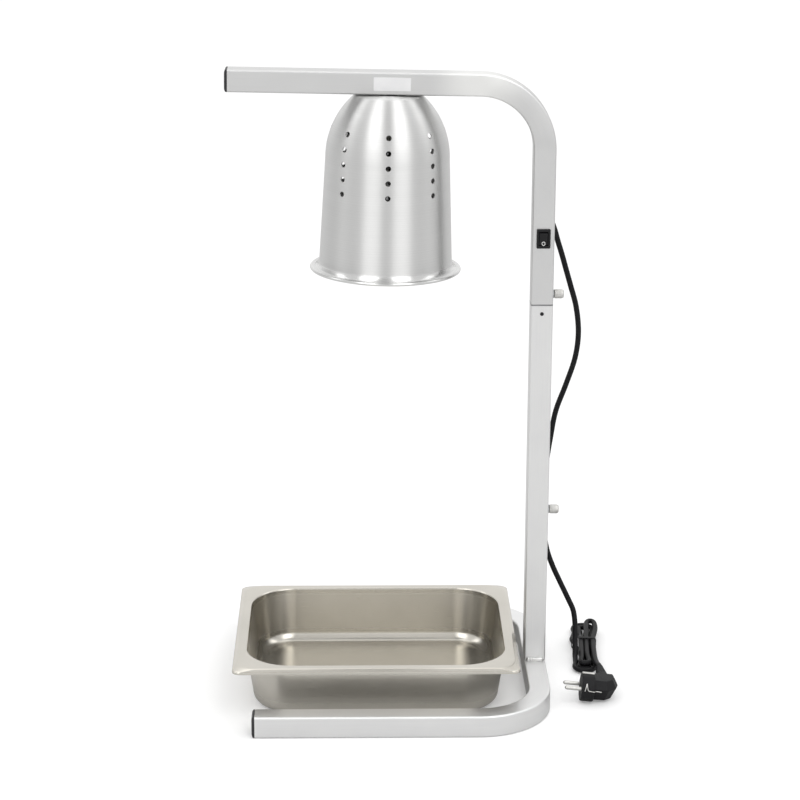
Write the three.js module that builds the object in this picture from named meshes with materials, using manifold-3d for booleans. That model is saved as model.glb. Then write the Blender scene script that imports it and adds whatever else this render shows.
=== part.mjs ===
// Food heat lamp: a square tube stand with an infrared lamp in a spun shade over a food pan.
// Millimetres, +Z up. The origin is on the floor under the post, the arm and the base rails run towards -X
// and the switch faces -Y. The upper part is drawn at its lowest setting.
import * as THREE from "three";
import { mergeVertices } from "three/addons/utils/BufferGeometryUtils.js";
import Module from "manifold-3d";

const wasm = await Module();
wasm.setup();

const DEGREE = Math.PI / 180;

// Fits
const SEAT = 0.3; // gap between two pieces that rest on each other
const OVERRUN = 1; // how far a cut runs past the face that it opens
const WELD = 1e-4; // points closer than this are one point

// Square tube of the base, the post and the arm
const TUBE_SIDE = 25;
const TUBE_WALL = 1.5;
const TUBE_CORNER = 2; // outside corner of the section
const TUBE_BORE_CORNER = 0.6;
const BEND_RADIUS = 60; // inside of every bend
const BEND_STEPS = 10; // flats in a quarter bend

// Base
const BASE_LENGTH = 339; // from the face of the end caps to the outside of the right run
const BASE_DEPTH = 344;
const WELD_BEAD = 3; // leg of the weld at the foot of the post

// Mast and arm
const ARM_HEIGHT = 715; // top of the arm, carried on over the post
const MAST_RISE = 260; // top of the lower post to the top of the arm
const ARM_REACH = 352.8; // post axis to the face of the arm's end cap
const ARM_RISE = 1; // degrees that the bend stays open, so the arm climbs towards its tip
const SLIDE_SIDE = 19;
const SLIDE_WALL = 1.5;
const SLIDE_CORNER = 1.5;
const SLIDE_BORE_CORNER = 0.5;
const SLIDE_FOOT = 40; // lower end of the slide tube over the floor
const SLIDE_INSERT = 46; // length of the slide tube held in the upper tube

// Plastic end caps
const CAP_FLANGE = 3.2;
const CAP_EDGE = 1; // straight part of the flange, before its bevel
const CAP_BEVEL = 2;
const CAP_PLUG = 12; // depth of the part inside the tube
const CAP_WALL = 2;

// Bushes between the slide tube and the two outer tubes
const BUSH_FLANGE = 1;
const BUSH_LENGTH = 30;
const BUSH_SCREW_DROP = 9.3; // below the seam
const BUSH_SCREW_SHANK = 2.6;
const BUSH_SCREW_HEAD = 4.4;
const BUSH_SCREW_HEIGHT = 1.3;
const SLEEVE_LENGTH = 36;

// Thumb screws with their clinch nuts
const UPPER_SCREW_RISE = 9.4; // above the foot of the upper tube
const LOWER_SCREW_HEIGHT = 209;
const SCREW_SHANK = 4.8;
const SCREW_HEAD = 10.4;
const SCREW_HEAD_LENGTH = 11;
const SCREW_HEAD_BEVEL = 0.8;
const SCREW_FLUTES = 20;
const SCREW_FLUTE_DEPTH = 0.4;
const NUT_FLANGE = 10;
const NUT_FLANGE_THICKNESS = 0.9;
const NUT_SPIGOT = 7;

// Rocker switch
const SWITCH_SHARE = 0.434; // of the upper tube's straight height
const SWITCH_BEZEL_WIDTH = 15.5;
const SWITCH_BEZEL_HEIGHT = 22;
const SWITCH_BEZEL_THICKNESS = 1.8;
const SWITCH_BEZEL_CORNER = 1.2;
const SWITCH_BODY_WIDTH = 12.6;
const SWITCH_BODY_HEIGHT = 19;
const SWITCH_BODY_DEPTH = 12.5; // behind the face of the tube
const SWITCH_POCKET_DEPTH = 9.8;
const ROCKER_WIDTH = 9.6;
const ROCKER_RADIUS = 7.6; // pivot to the ends of the rocker
const ROCKER_PIVOT_DEPTH = 1.2; // behind the face of the tube
const ROCKER_RISE = 3.6; // pivot to the upper corners
const ROCKER_DISH = 1.1; // how far the middle lies below the corners
const ROCKER_DROP = 5; // pivot to the flat underside
const ROCKER_TILT = 8; // degrees to each side of the middle
const TERMINAL_WIDTH = 4.8;
const TERMINAL_THICKNESS = 0.8;
const TERMINAL_LENGTH = 6.5;
const TERMINAL_SPACING = 9;

// Cord outlet and earth screw on the back of the upper tube
const OUTLET_SHARE = 0.6493; // of the upper tube's straight height
const OUTLET_HOLE = 10;
const OUTLET_FLANGE = 14;
const OUTLET_FLANGE_THICKNESS = 2.2;
const OUTLET_SLEEVE = 5.5; // tapered sleeve outside the flange
const OUTLET_INNER = 2.6; // length inside the tube wall
const EARTH_SHARE = 0.821; // of the upper tube's straight height
const EARTH_SHANK = 4;
const EARTH_HEAD = 7.5;
const EARTH_HEAD_HEIGHT = 2.4;
const EARTH_NUT_FLATS = 7;
const EARTH_NUT_HEIGHT = 3.2;
const EARTH_LUG_DIAMETER = 8;
const EARTH_LUG_THICKNESS = 0.8;
const EARTH_LUG_TAIL = 7;

// Spun shade, in radii and in depths below its top
const SHADE_REACH = 172.6; // post axis to the lamp axis, at the underside of the arm
const SHADE_HEIGHT = 196.4;
const SHADE_WALL = 1.2;
const SHADE_SHOULDER_RADIUS = 69;
const SHADE_SHOULDER_DEPTH = 70;
const SHADE_DOME_RADIUS = 93; // arc of the dome, tangent to the side at the shoulder
const SHADE_MOUTH_RADIUS = 74.3;
const SHADE_LIP_RADIUS = 84.5;
const SHADE_BEAD = 3.6; // rolled edge
const SHADE_SEGMENTS = 40;
const SHADE_DOME_STEPS = 8;
const VENT_DIAMETER = 6;
const VENT_COLUMNS = 8;
const VENT_ROWS = 5;
const VENT_TOP_DEPTH = 37.2;
const VENT_PITCH = 16.2;

// Threaded nipple that holds the lamp holder and the shade
const SPACER_DIAMETER = 24;
const SPACER_THICKNESS = 0.5;
const NIPPLE_DIAMETER = 9.6;
const NIPPLE_BORE = 7;
const NIPPLE_ENTRY = 6; // length above the arm's lower wall
const NIPPLE_DROP = 15; // length below the arm
const ARM_NUT_FLATS = 14;
const ARM_NUT_HEIGHT = 3;
const SHADE_NUT_FLATS = 17;
const SHADE_NUT_HEIGHT = 3;

// Ceramic lamp holder
const HOLDER_NECK_DIAMETER = 26;
const HOLDER_NECK_LENGTH = 8;
const HOLDER_DIAMETER = 41;
const HOLDER_LENGTH = 48;
const HOLDER_SHOULDER = 5;
const HOLDER_FLOOR = 18; // top of the holder to the floor of its socket
const HOLDER_RIM = 5.5;
const SHELL_WALL = 0.8;
const SHELL_LENGTH = 26;
const CONTACT_DIAMETER = 4.8;
const CONTACT_HEIGHT = 3;
const CONTACT_HOLE = 6;

// Infrared bulb
const BULB_LENGTH = 160;
const BULB_DIAMETER = 125;
const BULB_WALL = 1;
const BULB_CAP_DIAMETER = 26.4;
const BULB_CAP_LENGTH = 22;
const BULB_CAP_WALL = 0.6;
const BULB_TIP_DIAMETER = 9;
const BULB_TIP_HEIGHT = 1.5;
const BULB_INSULATOR_HEIGHT = 2.6;
const BULB_NECK_DIAMETER = 24;
const BULB_NECK_INSERT = 12; // length of the glass neck inside the cap
const BULB_SEGMENTS = 24;
// Outline of the glass from below the cap: radius as a share of the largest, depth as a share of the rest
const BULB_OUTLINE_SHARES = [
  [0.27, 0.05],
  [0.34, 0.14],
  [0.47, 0.27],
  [0.73, 0.46],
  [0.94, 0.63],
  [1, 0.77],
  [0.93, 0.89],
  [0.62, 0.975],
  [0.3, 0.996],
];
const STEM_DIAMETER = 9;
const STEM_FLARE = 2; // thickness of its flared end, which is fused to the neck
const STEM_LENGTH = 34;
const FILAMENT_WIRE = 1;
const FILAMENT_DROP = 22; // from the stem to the filament
const FILAMENT_SPAN = 28;

// Food pan, half size, with a flat rim
const PAN_REACH = 187; // post axis to the middle of the pan
const PAN_LENGTH = 325;
const PAN_DEPTH = 265;
const PAN_HEIGHT = 65;
const PAN_SHEET = 0.9;
const PAN_RIM_WIDTH = 11; // flat part
const PAN_RIM_DROP = 5;
const PAN_RIM_CORNER = 9;
const PAN_RIM_EDGE = 2; // outside radius of the turned edge
const PAN_MOUTH_CORNER = 52;
const PAN_MOUTH_EDGE = 7; // radius between the rim and the wall
const PAN_TAPER = 4; // how far each wall leans in on its way down
const PAN_FLOOR_RADIUS = 16;
const PAN_CORNER_STEPS = 5;

// Leads inside the upper tube and the arm
const LEAD_DIAMETER = 2;
const LEAD_SPACING = 2.7;
const LEAD_STEP = 4; // length of a flat along a lead

// Supply cord, its hank and its plug
const CORD_DIAMETER = 6.4;
const CORD_SIDES = 10;
const CORD_STEP = 15; // length of a flat along the cord
const HANK_MIDDLE = [66.5, 73.8]; // X and Y of the middle of the hank
const HANK_TURN = 4; // degrees that its back end lies to the right
const HANK_HALF_RUN = 58.5; // middle of the hank to the centre of its end turns
const HANK_INNER_TURN = 5; // radius of the inner end turns
const HANK_GAP = 0.8; // between neighbouring runs and layers
const HANK_SIDES = 6;
const HANK_TURN_STEPS = 6; // flats in an end turn
const HANK_BULGE = 4; // how far the outer loop stands out at the left
const TIE_THICKNESS = 0.9;
const TIE_WIDTH = 5;
const TIE_CORNER = 4;
const PLUG_FACE = [49, -72.7]; // X of the face and Y of the axis
const PLUG_TILT = 6; // degrees that the plug leans back on its hood
const PLUG_DIAMETER = 33;
const PLUG_DISC = 15;
const PLUG_DEPTH = 43.5; // face to the back of the hood
const PLUG_HOOD_HEIGHT = 24;
const PLUG_HOOD_BEVEL = 6;
const PLUG_SHOULDER = 22; // plug axis to the shoulder beside the neck
const PLUG_EDGE = 1.5;
const PLUG_NECK_SETBACK = 28; // face to the axis of the neck
const PLUG_NECK_END = 60; // plug axis to the end of the neck
const PLUG_NECK_DIAMETER = 8.6;
const PLUG_NECK_ROOT = 17;
const PLUG_PIN_DIAMETER = 4.8;
const PLUG_PIN_LENGTH = 19;
const PLUG_PIN_SPACING = 19;
const PLUG_PIN_TURN = 6; // degrees from level to the line through the pins
const PLUG_CLIP_WIDTH = 4.6;
const PLUG_CLIP_LENGTH = 14;
const PLUG_CLIP_THICKNESS = 1;
const PLUG_CLIP_RECESS = 1.2; // floor of the clip's groove below the side of the plug

// The hanging cord, from the outlet to the hank
const DROP_ROUTE = [
  [3, 34.5, 567.5],
  [8.5, 40, 559],
  [13, 42.8, 547],
  [17.4, 44, 532],
  [21.1, 45.4, 516.5],
  [26.4, 47, 500],
  [31.7, 48.5, 482],
  [37.2, 50.2, 463.5],
  [44.5, 52.3, 437.5],
  [48.2, 55, 405],
  [45.3, 57.2, 375],
  [35.6, 59.3, 342],
  [24.6, 61, 309],
  [19.3, 62, 276.5],
  [14.5, 62.5, 240],
  [12.5, 63, 205],
  [13, 63, 170],
  [17.5, 63, 138],
  [24.8, 63.3, 116],
  [33.8, 63.4, 96],
  [45.6, 62.8, 71],
  [51.1, 61.7, 58.7],
  [53.4, 59.5, 45],
  [53.8, 56, 31],
  [53.8, 51, 17.5],
  [53.1, 42.5, 8],
];
// The cord from the hank to the plug
const TAIL_ROUTE = [
  [72.4, 104, 11.6],
  [73.6, 120, 11.7],
  [74.8, 131, 11.8],
  [77.2, 138, 11.8],
  [80.4, 140.3, 11.8],
  [83.5, 137.5, 11.8],
  [84.8, 129, 11.7],
  [84.2, 116, 11.6],
  [82.2, 104, 11.6],
  [80.3, 95, 11.6],
  [78.8, 88, 11.6],
  [78, 83, 11.6],
  [77.8, 79.6, 11.6],
  [77.5, 75, 11.6],
  [77, 67, 11.6],
  [76.1, 50, 11.6],
  [75.4, 35, 11.6],
  [75.2, 18, 11.7],
  [75.9, 4, 12.9],
];

// Sizes that follow from those above
const HALF_TUBE = TUBE_SIDE / 2;
const TUBE_BORE = TUBE_SIDE - 2 * TUBE_WALL;
const BEND_CENTRE = BEND_RADIUS + HALF_TUBE; // radius of a bend on the tube's axis
const RISE = ARM_RISE * DEGREE;
const SEAM_HEIGHT = ARM_HEIGHT - MAST_RISE; // top of the lower post
const UPPER_FOOT = SEAM_HEIGHT + BUSH_FLANGE + 2 * SEAT;
const BEND_HEIGHT =
  ARM_HEIGHT - HALF_TUBE / Math.cos(RISE) - BEND_CENTRE * Math.cos(RISE) +
  BEND_CENTRE * (1 - Math.sin(RISE)) * Math.tan(RISE);
const UPPER_STRAIGHT = BEND_HEIGHT - UPPER_FOOT;
const UPPER_SCREW_HEIGHT = UPPER_FOOT + UPPER_SCREW_RISE;
const SWITCH_HEIGHT = UPPER_FOOT + SWITCH_SHARE * UPPER_STRAIGHT;
const OUTLET_HEIGHT = UPPER_FOOT + OUTLET_SHARE * UPPER_STRAIGHT;
const EARTH_HEIGHT = UPPER_FOOT + EARTH_SHARE * UPPER_STRAIGHT;
const BEND_END = BEND_CENTRE * (1 - Math.sin(RISE)); // post axis to the end of the arm's bend
const SHADE_TOP = 2 * SEAT + SPACER_THICKNESS; // below the arm
const HOLDER_TOP = SHADE_TOP + SHADE_WALL + SHADE_NUT_HEIGHT + 2 * SEAT;
const BULB_TOP = HOLDER_TOP + HOLDER_FLOOR + CONTACT_HEIGHT + 2 * SEAT;
const CORD_RADIUS = CORD_DIAMETER / 2;
const HANK_PITCH = CORD_DIAMETER + HANK_GAP;
const HANK_LOW = CORD_RADIUS + TIE_THICKNESS + SEAT; // height of the lower layer
const HANK_HIGH = HANK_LOW + HANK_PITCH;

// Height of the arm's axis at a distance from the post axis
function armAxisHeight(reach) {
  return BEND_HEIGHT + BEND_CENTRE * Math.cos(RISE) + (reach - BEND_END) * Math.tan(RISE);
}

// The lamp hangs in a frame of its own: origin under the arm, Z square to the arm
const LAMP_FRAME = new THREE.Matrix4()
  .makeRotationY(RISE)
  .setPosition(-SHADE_REACH, 0, armAxisHeight(SHADE_REACH) - HALF_TUBE / Math.cos(RISE));

const material = (color, roughness, metalness) =>
  new THREE.MeshStandardMaterial({ color, roughness, metalness });
const aluminium = material(0xc9cacb, 0.38, 1);
const spunAluminium = material(0xd3d4d6, 0.3, 1);
const stainless = material(0xa9a59c, 0.32, 1);
const steel = material(0xb9babb, 0.4, 1);
const brass = material(0xb79a55, 0.35, 1);
const nickel = material(0xcac7c0, 0.25, 1);
const blackPlastic = material(0x1d1d1f, 0.5, 0);
const cordBlack = material(0x242426, 0.62, 0);
const ceramic = material(0xe9e6de, 0.45, 0);
const glass = material(0xdfe3e2, 0.12, 0);
const brownLead = material(0x5a3a22, 0.6, 0);
const blueLead = material(0x2a4c8f, 0.6, 0);
const earthLead = material(0x8aa83a, 0.6, 0);

const vector = (x, y, z) => new THREE.Vector3(x, y, z);
const smooth = (share) => THREE.MathUtils.smoothstep(share, 0, 1);

// A geometry with its points joined, its collapsed faces gone and its faces turned outwards
function closed(geometry) {
  const bare = new THREE.BufferGeometry();
  bare.setAttribute("position", geometry.getAttribute("position").clone());
  bare.setIndex(geometry.index);
  const merged = mergeVertices(bare, WELD);
  const at = merged.getAttribute("position");
  const corners = [vector(), vector(), vector()];
  const faces = [];
  let volume = 0;
  for (let i = 0; i < merged.index.count; i += 3) {
    const face = [0, 1, 2].map((k) => merged.index.getX(i + k));
    if (new Set(face).size < 3) continue;
    faces.push(face);
    face.forEach((index, k) => corners[k].fromBufferAttribute(at, index));
    volume += corners[0].dot(corners[1].cross(corners[2]));
  }
  merged.setIndex(faces.flatMap(([a, b, c]) => (volume < 0 ? [a, c, b] : [a, b, c])));
  return merged;
}

function toSolid(geometry) {
  const mesh = closed(geometry);
  return new wasm.Manifold(
    new wasm.Mesh({
      numProp: 3,
      vertProperties: new Float32Array(mesh.getAttribute("position").array),
      triVerts: new Uint32Array(mesh.index.array),
    }),
  );
}

function toGeometry(solid) {
  const mesh = solid.getMesh();
  const geometry = new THREE.BufferGeometry();
  geometry.setAttribute("position", new THREE.BufferAttribute(mesh.vertProperties, 3));
  geometry.setIndex(new THREE.BufferAttribute(mesh.triVerts, 1));
  return geometry;
}

function cut(geometry, ...tools) {
  return toGeometry(tools.reduce((solid, tool) => solid.subtract(toSolid(tool)), toSolid(geometry)));
}

function join(geometry, ...others) {
  return toGeometry(others.reduce((solid, other) => solid.add(toSolid(other)), toSolid(geometry)));
}

function piece(name, geometry, finish) {
  const flat = closed(geometry).toNonIndexed();
  flat.computeVertexNormals();
  const mesh = new THREE.Mesh(flat, finish);
  mesh.name = name;
  return mesh;
}

// A closed skin over rings of equally many points: either the last ring joins the first, or both ends
// are closed flat
function skin(rings, joined) {
  const size = rings[0].length;
  const points = rings.flat();
  const faces = [];
  const spans = joined ? rings.length : rings.length - 1;
  for (let ring = 0; ring < spans; ring++) {
    const here = ring * size;
    const there = ((ring + 1) % rings.length) * size;
    for (let k = 0; k < size; k++) {
      const next = (k + 1) % size;
      faces.push(here + k, here + next, there + next, here + k, there + next, there + k);
    }
  }
  if (!joined) {
    for (const [start, turned] of [[0, true], [points.length - size, false]]) {
      const middle = points.slice(start, start + size).reduce((sum, p) => sum.add(p), vector());
      const hub = points.push(middle.divideScalar(size)) - 1;
      for (let k = 0; k < size; k++) {
        const next = (k + 1) % size;
        faces.push(hub, start + (turned ? next : k), start + (turned ? k : next));
      }
    }
  }
  const geometry = new THREE.BufferGeometry();
  geometry.setAttribute("position", new THREE.Float32BufferAttribute(points.flatMap((p) => p.toArray()), 3));
  geometry.setIndex(faces);
  return geometry;
}

// Points of a rectangle with rounded corners, anticlockwise
function roundedOutline(width, height, radius, steps) {
  const points = [];
  for (let corner = 0; corner < 4; corner++) {
    const sideways = corner === 0 || corner === 3 ? 1 : -1;
    const upwards = corner < 2 ? 1 : -1;
    for (let i = 0; i <= steps; i++) {
      const angle = ((corner + i / steps) * Math.PI) / 2;
      points.push(
        new THREE.Vector2(
          sideways * (width / 2 - radius) + radius * Math.cos(angle),
          upwards * (height / 2 - radius) + radius * Math.sin(angle),
        ),
      );
    }
  }
  return points;
}

// Stations along a flat path of straight legs and bends, each with the directions across and up
function pathStations(start, right, ahead, heading, legs) {
  const up = right.clone().cross(ahead);
  const stations = [];
  let [x, y, angle] = [0, 0, heading];
  const stop = () => {
    const point = start.clone().addScaledVector(right, x).addScaledVector(ahead, y);
    const across = right.clone().multiplyScalar(-Math.sin(angle));
    stations.push({ point, across: across.addScaledVector(ahead, Math.cos(angle)), up });
  };
  stop();
  for (const { straight, turn } of legs) {
    if (straight) {
      x += straight * Math.cos(angle);
      y += straight * Math.sin(angle);
      stop();
      continue;
    }
    const [centreX, centreY] = [x - BEND_CENTRE * Math.sin(angle), y + BEND_CENTRE * Math.cos(angle)];
    const before = angle;
    for (let i = 1; i <= BEND_STEPS; i++) {
      angle = before + (turn * i) / BEND_STEPS;
      x = centreX + BEND_CENTRE * Math.sin(angle);
      y = centreY - BEND_CENTRE * Math.cos(angle);
      stop();
    }
  }
  return stations;
}

// A hollow square tube through the stations
function squareTube(stations, side, wall, corner, boreCorner) {
  const ring = (width, radius) => ({ point, across, up }) =>
    roundedOutline(width, width, radius, 2).map((p) =>
      point.clone().addScaledVector(across, p.x).addScaledVector(up, p.y),
    );
  const outside = stations.map(ring(side, corner));
  const inside = stations.map(ring(side - 2 * wall, boreCorner)).reverse();
  return skin([...outside, ...inside], true);
}

// An upright hollow square tube between two heights
function uprightTube(low, high, side, wall, corner, boreCorner) {
  const stations = [low, high].map((height) => ({
    point: vector(0, 0, height),
    across: vector(1, 0, 0),
    up: vector(0, 1, 0),
  }));
  return squareTube(stations, side, wall, corner, boreCorner);
}

// A slab with a rounded outline in X and Z, from one Y to another
function slab(width, height, corner, nearY, farY, middleZ) {
  const shape = new THREE.Shape(roundedOutline(width, height, corner, 2));
  const geometry = new THREE.ExtrudeGeometry(shape, { depth: farY - nearY, bevelEnabled: false });
  return geometry.rotateX(Math.PI / 2).translate(0, farY, middleZ);
}

function block(sizeX, sizeY, sizeZ, x, y, z) {
  return new THREE.BoxGeometry(sizeX, sizeY, sizeZ).translate(x, y, z);
}

// A round or many-sided bar between two points
function bar(from, to, diameter, sides) {
  const along = to.clone().sub(from);
  const turn = new THREE.Quaternion().setFromUnitVectors(vector(0, 1, 0), along.clone().normalize());
  const middle = from.clone().add(to).divideScalar(2);
  return new THREE.CylinderGeometry(diameter / 2, diameter / 2, along.length(), sides)
    .applyQuaternion(turn)
    .translate(middle.x, middle.y, middle.z);
}

// A turned piece about Z from pairs of radius and height, which end on the axis or close on themselves
function turned(profile, segments) {
  const [first, last] = [profile[0], profile[profile.length - 1]];
  const loop = first[0] > 0 || last[0] > 0 ? [...profile, first] : profile;
  const points = loop.map(([radius, height]) => new THREE.Vector2(radius, height));
  return new THREE.LatheGeometry(points, segments).rotateX(Math.PI / 2);
}

// A turned ring of rectangular section
function ring(outer, bore, low, high, segments) {
  return turned([[bore / 2, low], [outer / 2, low], [outer / 2, high], [bore / 2, high]], segments);
}

function hexNut(flats, bore, low, high) {
  const outside = bar(vector(0, 0, low), vector(0, 0, high), flats / Math.cos(Math.PI / 6), 6);
  return cut(outside, bar(vector(0, 0, low - OVERRUN), vector(0, 0, high + OVERRUN), bore, 16));
}

// Points of an arc in the plane of a profile, angles in degrees
function arc(centreX, centreY, radius, from, to, steps) {
  return Array.from({ length: steps + 1 }, (_, i) => {
    const angle = (from + ((to - from) * i) / steps) * DEGREE;
    return [centreX + radius * Math.cos(angle), centreY + radius * Math.sin(angle)];
  });
}

// A round cord or lead along a smooth route
function cordAlong(route, diameter, sides, step) {
  const curve = new THREE.CatmullRomCurve3(route.map((p) => (Array.isArray(p) ? vector(...p) : p)));
  const section = Array.from({ length: sides }, (_, k) => {
    const angle = (k / sides) * 2 * Math.PI;
    return new THREE.Vector2((Math.cos(angle) * diameter) / 2, (Math.sin(angle) * diameter) / 2);
  });
  const steps = Math.max(2, Math.round(curve.getLength() / step));
  return new THREE.ExtrudeGeometry(new THREE.Shape(section), { extrudePath: curve, steps });
}

function baseFrame() {
  const railStart = -(BASE_LENGTH - HALF_TUBE) + CAP_FLANGE + SEAT;
  const rail = { straight: -BEND_CENTRE - railStart };
  const run = { straight: BASE_DEPTH - TUBE_SIDE - 2 * BEND_CENTRE };
  const quarter = { turn: Math.PI / 2 };
  const start = vector(railStart, -(BASE_DEPTH / 2 - HALF_TUBE), HALF_TUBE);
  const legs = [rail, quarter, run, quarter, rail];
  const stations = pathStations(start, vector(1, 0, 0), vector(0, 1, 0), 0, legs);
  const frame = squareTube(stations, TUBE_SIDE, TUBE_WALL, TUBE_CORNER, TUBE_BORE_CORNER);
  return join(frame, weldBead(1), weldBead(-1));
}

// The weld in front of or behind the foot of the post: a fillet sunk a little into the rail
function weldBead(side) {
  const near = HALF_TUBE + SEAT;
  const low = TUBE_SIDE - TUBE_WALL / 2;
  const outline = new THREE.Shape([
    new THREE.Vector2(near, low),
    new THREE.Vector2(near + WELD_BEAD, low),
    new THREE.Vector2(near + WELD_BEAD, TUBE_SIDE),
    new THREE.Vector2(near, TUBE_SIDE + WELD_BEAD),
  ]);
  const length = TUBE_SIDE - 2 * TUBE_CORNER;
  const bead = new THREE.ExtrudeGeometry(outline, { depth: length, bevelEnabled: false });
  bead.rotateX(Math.PI / 2).rotateZ(Math.PI / 2).translate(-length / 2, 0, 0);
  return side > 0 ? bead : bead.rotateZ(Math.PI);
}

function lowerPost() {
  const tube = uprightTube(
    TUBE_SIDE + SEAT, SEAM_HEIGHT, TUBE_SIDE, TUBE_WALL, TUBE_CORNER, TUBE_BORE_CORNER);
  return cut(tube, nutHole(LOWER_SCREW_HEIGHT), bushScrewHole(HALF_TUBE));
}

function nutHole(height) {
  const from = vector(SLIDE_SIDE / 2 + SEAT, 0, height);
  return bar(from, vector(HALF_TUBE + OVERRUN, 0, height), NUT_SPIGOT + 2 * SEAT, 16);
}

function bushScrewHole(reach) {
  const height = SEAM_HEIGHT - BUSH_SCREW_DROP;
  const from = vector(0, -reach - OVERRUN, height);
  return bar(from, vector(0, -SLIDE_SIDE / 2, height), BUSH_SCREW_SHANK + 2 * SEAT, 12);
}

// An end cap whose flange lies at X = 0 and faces -X
function endCap() {
  const ringAt = (x, inset) =>
    roundedOutline(TUBE_SIDE - 2 * inset, TUBE_SIDE - 2 * inset, TUBE_CORNER, 2).map((p) =>
      vector(x, p.x, p.y),
    );
  const flange = skin(
    [ringAt(0, CAP_BEVEL), ringAt(CAP_FLANGE - CAP_EDGE, 0), ringAt(CAP_FLANGE, 0)], false);
  const plugSide = TUBE_BORE - 2 * SEAT;
  const plug = block(CAP_PLUG + CAP_EDGE, plugSide, plugSide, CAP_FLANGE + (CAP_PLUG - CAP_EDGE) / 2, 0, 0);
  const hollowSide = plugSide - 2 * CAP_WALL;
  const hollow = block(CAP_PLUG, hollowSide, hollowSide, CAP_FLANGE + CAP_WALL + CAP_PLUG / 2, 0, 0);
  return cut(join(flange, plug), hollow);
}

function guideBush() {
  const foot = SEAM_HEIGHT - BUSH_LENGTH;
  const top = SEAM_HEIGHT + SEAT + BUSH_FLANGE;
  const outer = TUBE_BORE - 2 * SEAT;
  const bore = SLIDE_SIDE + 2 * SEAT;
  const wall = (outer - bore) / 2;
  const sleeve = uprightTube(foot, top, outer, wall, TUBE_BORE_CORNER, SLIDE_CORNER);
  const flangeWall = (TUBE_SIDE - bore) / 2;
  const flange = uprightTube(
    top - BUSH_FLANGE, top, TUBE_SIDE, flangeWall, TUBE_CORNER, SLIDE_CORNER);
  return cut(join(sleeve, flange), bushScrewHole(outer / 2));
}

function bushScrew() {
  const height = SEAM_HEIGHT - BUSH_SCREW_DROP;
  const head = BUSH_SCREW_HEAD / 2;
  const base = HALF_TUBE + SEAT;
  const shank = BUSH_SCREW_SHANK / 2;
  const tip = SLIDE_SIDE / 2 + SEAT;
  const profile = [
    [0, tip],
    [shank, tip],
    [shank, base],
    [head, base],
    ...arc(0, base, 1, 0, 90, 3).map(([x, y]) => [x * head, base + (y - base) * BUSH_SCREW_HEIGHT]),
  ];
  return turned(profile, 12).rotateX(Math.PI / 2).translate(0, 0, height);
}

function slideTube() {
  return uprightTube(
    SLIDE_FOOT, SEAM_HEIGHT + SLIDE_INSERT, SLIDE_SIDE, SLIDE_WALL, SLIDE_CORNER, SLIDE_BORE_CORNER);
}

// The plain sleeve that centres the slide tube in the upper tube
function packingSleeve() {
  const foot = UPPER_FOOT + SEAT;
  const outer = TUBE_BORE - 2 * SEAT;
  const wall = (outer - SLIDE_SIDE) / 2 - SEAT;
  const sleeve = uprightTube(foot, foot + SLEEVE_LENGTH, outer, wall, TUBE_BORE_CORNER, SLIDE_CORNER);
  return cut(sleeve, nutHole(UPPER_SCREW_HEIGHT));
}

// The clinch nut for a thumb screw, in the right wall of a tube
function clinchNut(height) {
  const bore = SCREW_SHANK / 2 + SEAT;
  const inner = HALF_TUBE - TUBE_WALL;
  const face = HALF_TUBE + SEAT;
  const profile = [
    [bore, inner],
    [NUT_SPIGOT / 2, inner],
    [NUT_SPIGOT / 2, face],
    [NUT_FLANGE / 2, face],
    [NUT_FLANGE / 2, face + NUT_FLANGE_THICKNESS],
    [bore, face + NUT_FLANGE_THICKNESS],
  ];
  return turned(profile, 16).rotateY(Math.PI / 2).translate(0, 0, height);
}

// A thumb screw whose tip presses on the slide tube
function thumbScrew(height) {
  const tip = SLIDE_SIDE / 2 + SEAT;
  const headStart = HALF_TUBE + NUT_FLANGE_THICKNESS + 2 * SEAT;
  const flutes = Array.from({ length: 2 * SCREW_FLUTES }, (_, i) => {
    const angle = (i / SCREW_FLUTES) * Math.PI;
    const radius = SCREW_HEAD / 2 - (i % 2) * SCREW_FLUTE_DEPTH;
    return { cos: Math.cos(angle), sin: Math.sin(angle), radius };
  });
  const ringAt = (x, inset) =>
    flutes.map(({ cos, sin, radius }) => vector(x, cos * (radius - inset), height + sin * (radius - inset)));
  const headEnd = headStart + SCREW_HEAD_LENGTH;
  const head = skin(
    [
      ringAt(headStart, SCREW_HEAD_BEVEL),
      ringAt(headStart + SCREW_HEAD_BEVEL, 0),
      ringAt(headEnd - SCREW_HEAD_BEVEL, 0),
      ringAt(headEnd, SCREW_HEAD_BEVEL),
    ],
    false,
  );
  const shank = bar(vector(tip, 0, height), vector(headStart + SCREW_HEAD_BEVEL, 0, height), SCREW_SHANK, 12);
  return join(head, shank);
}

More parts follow.
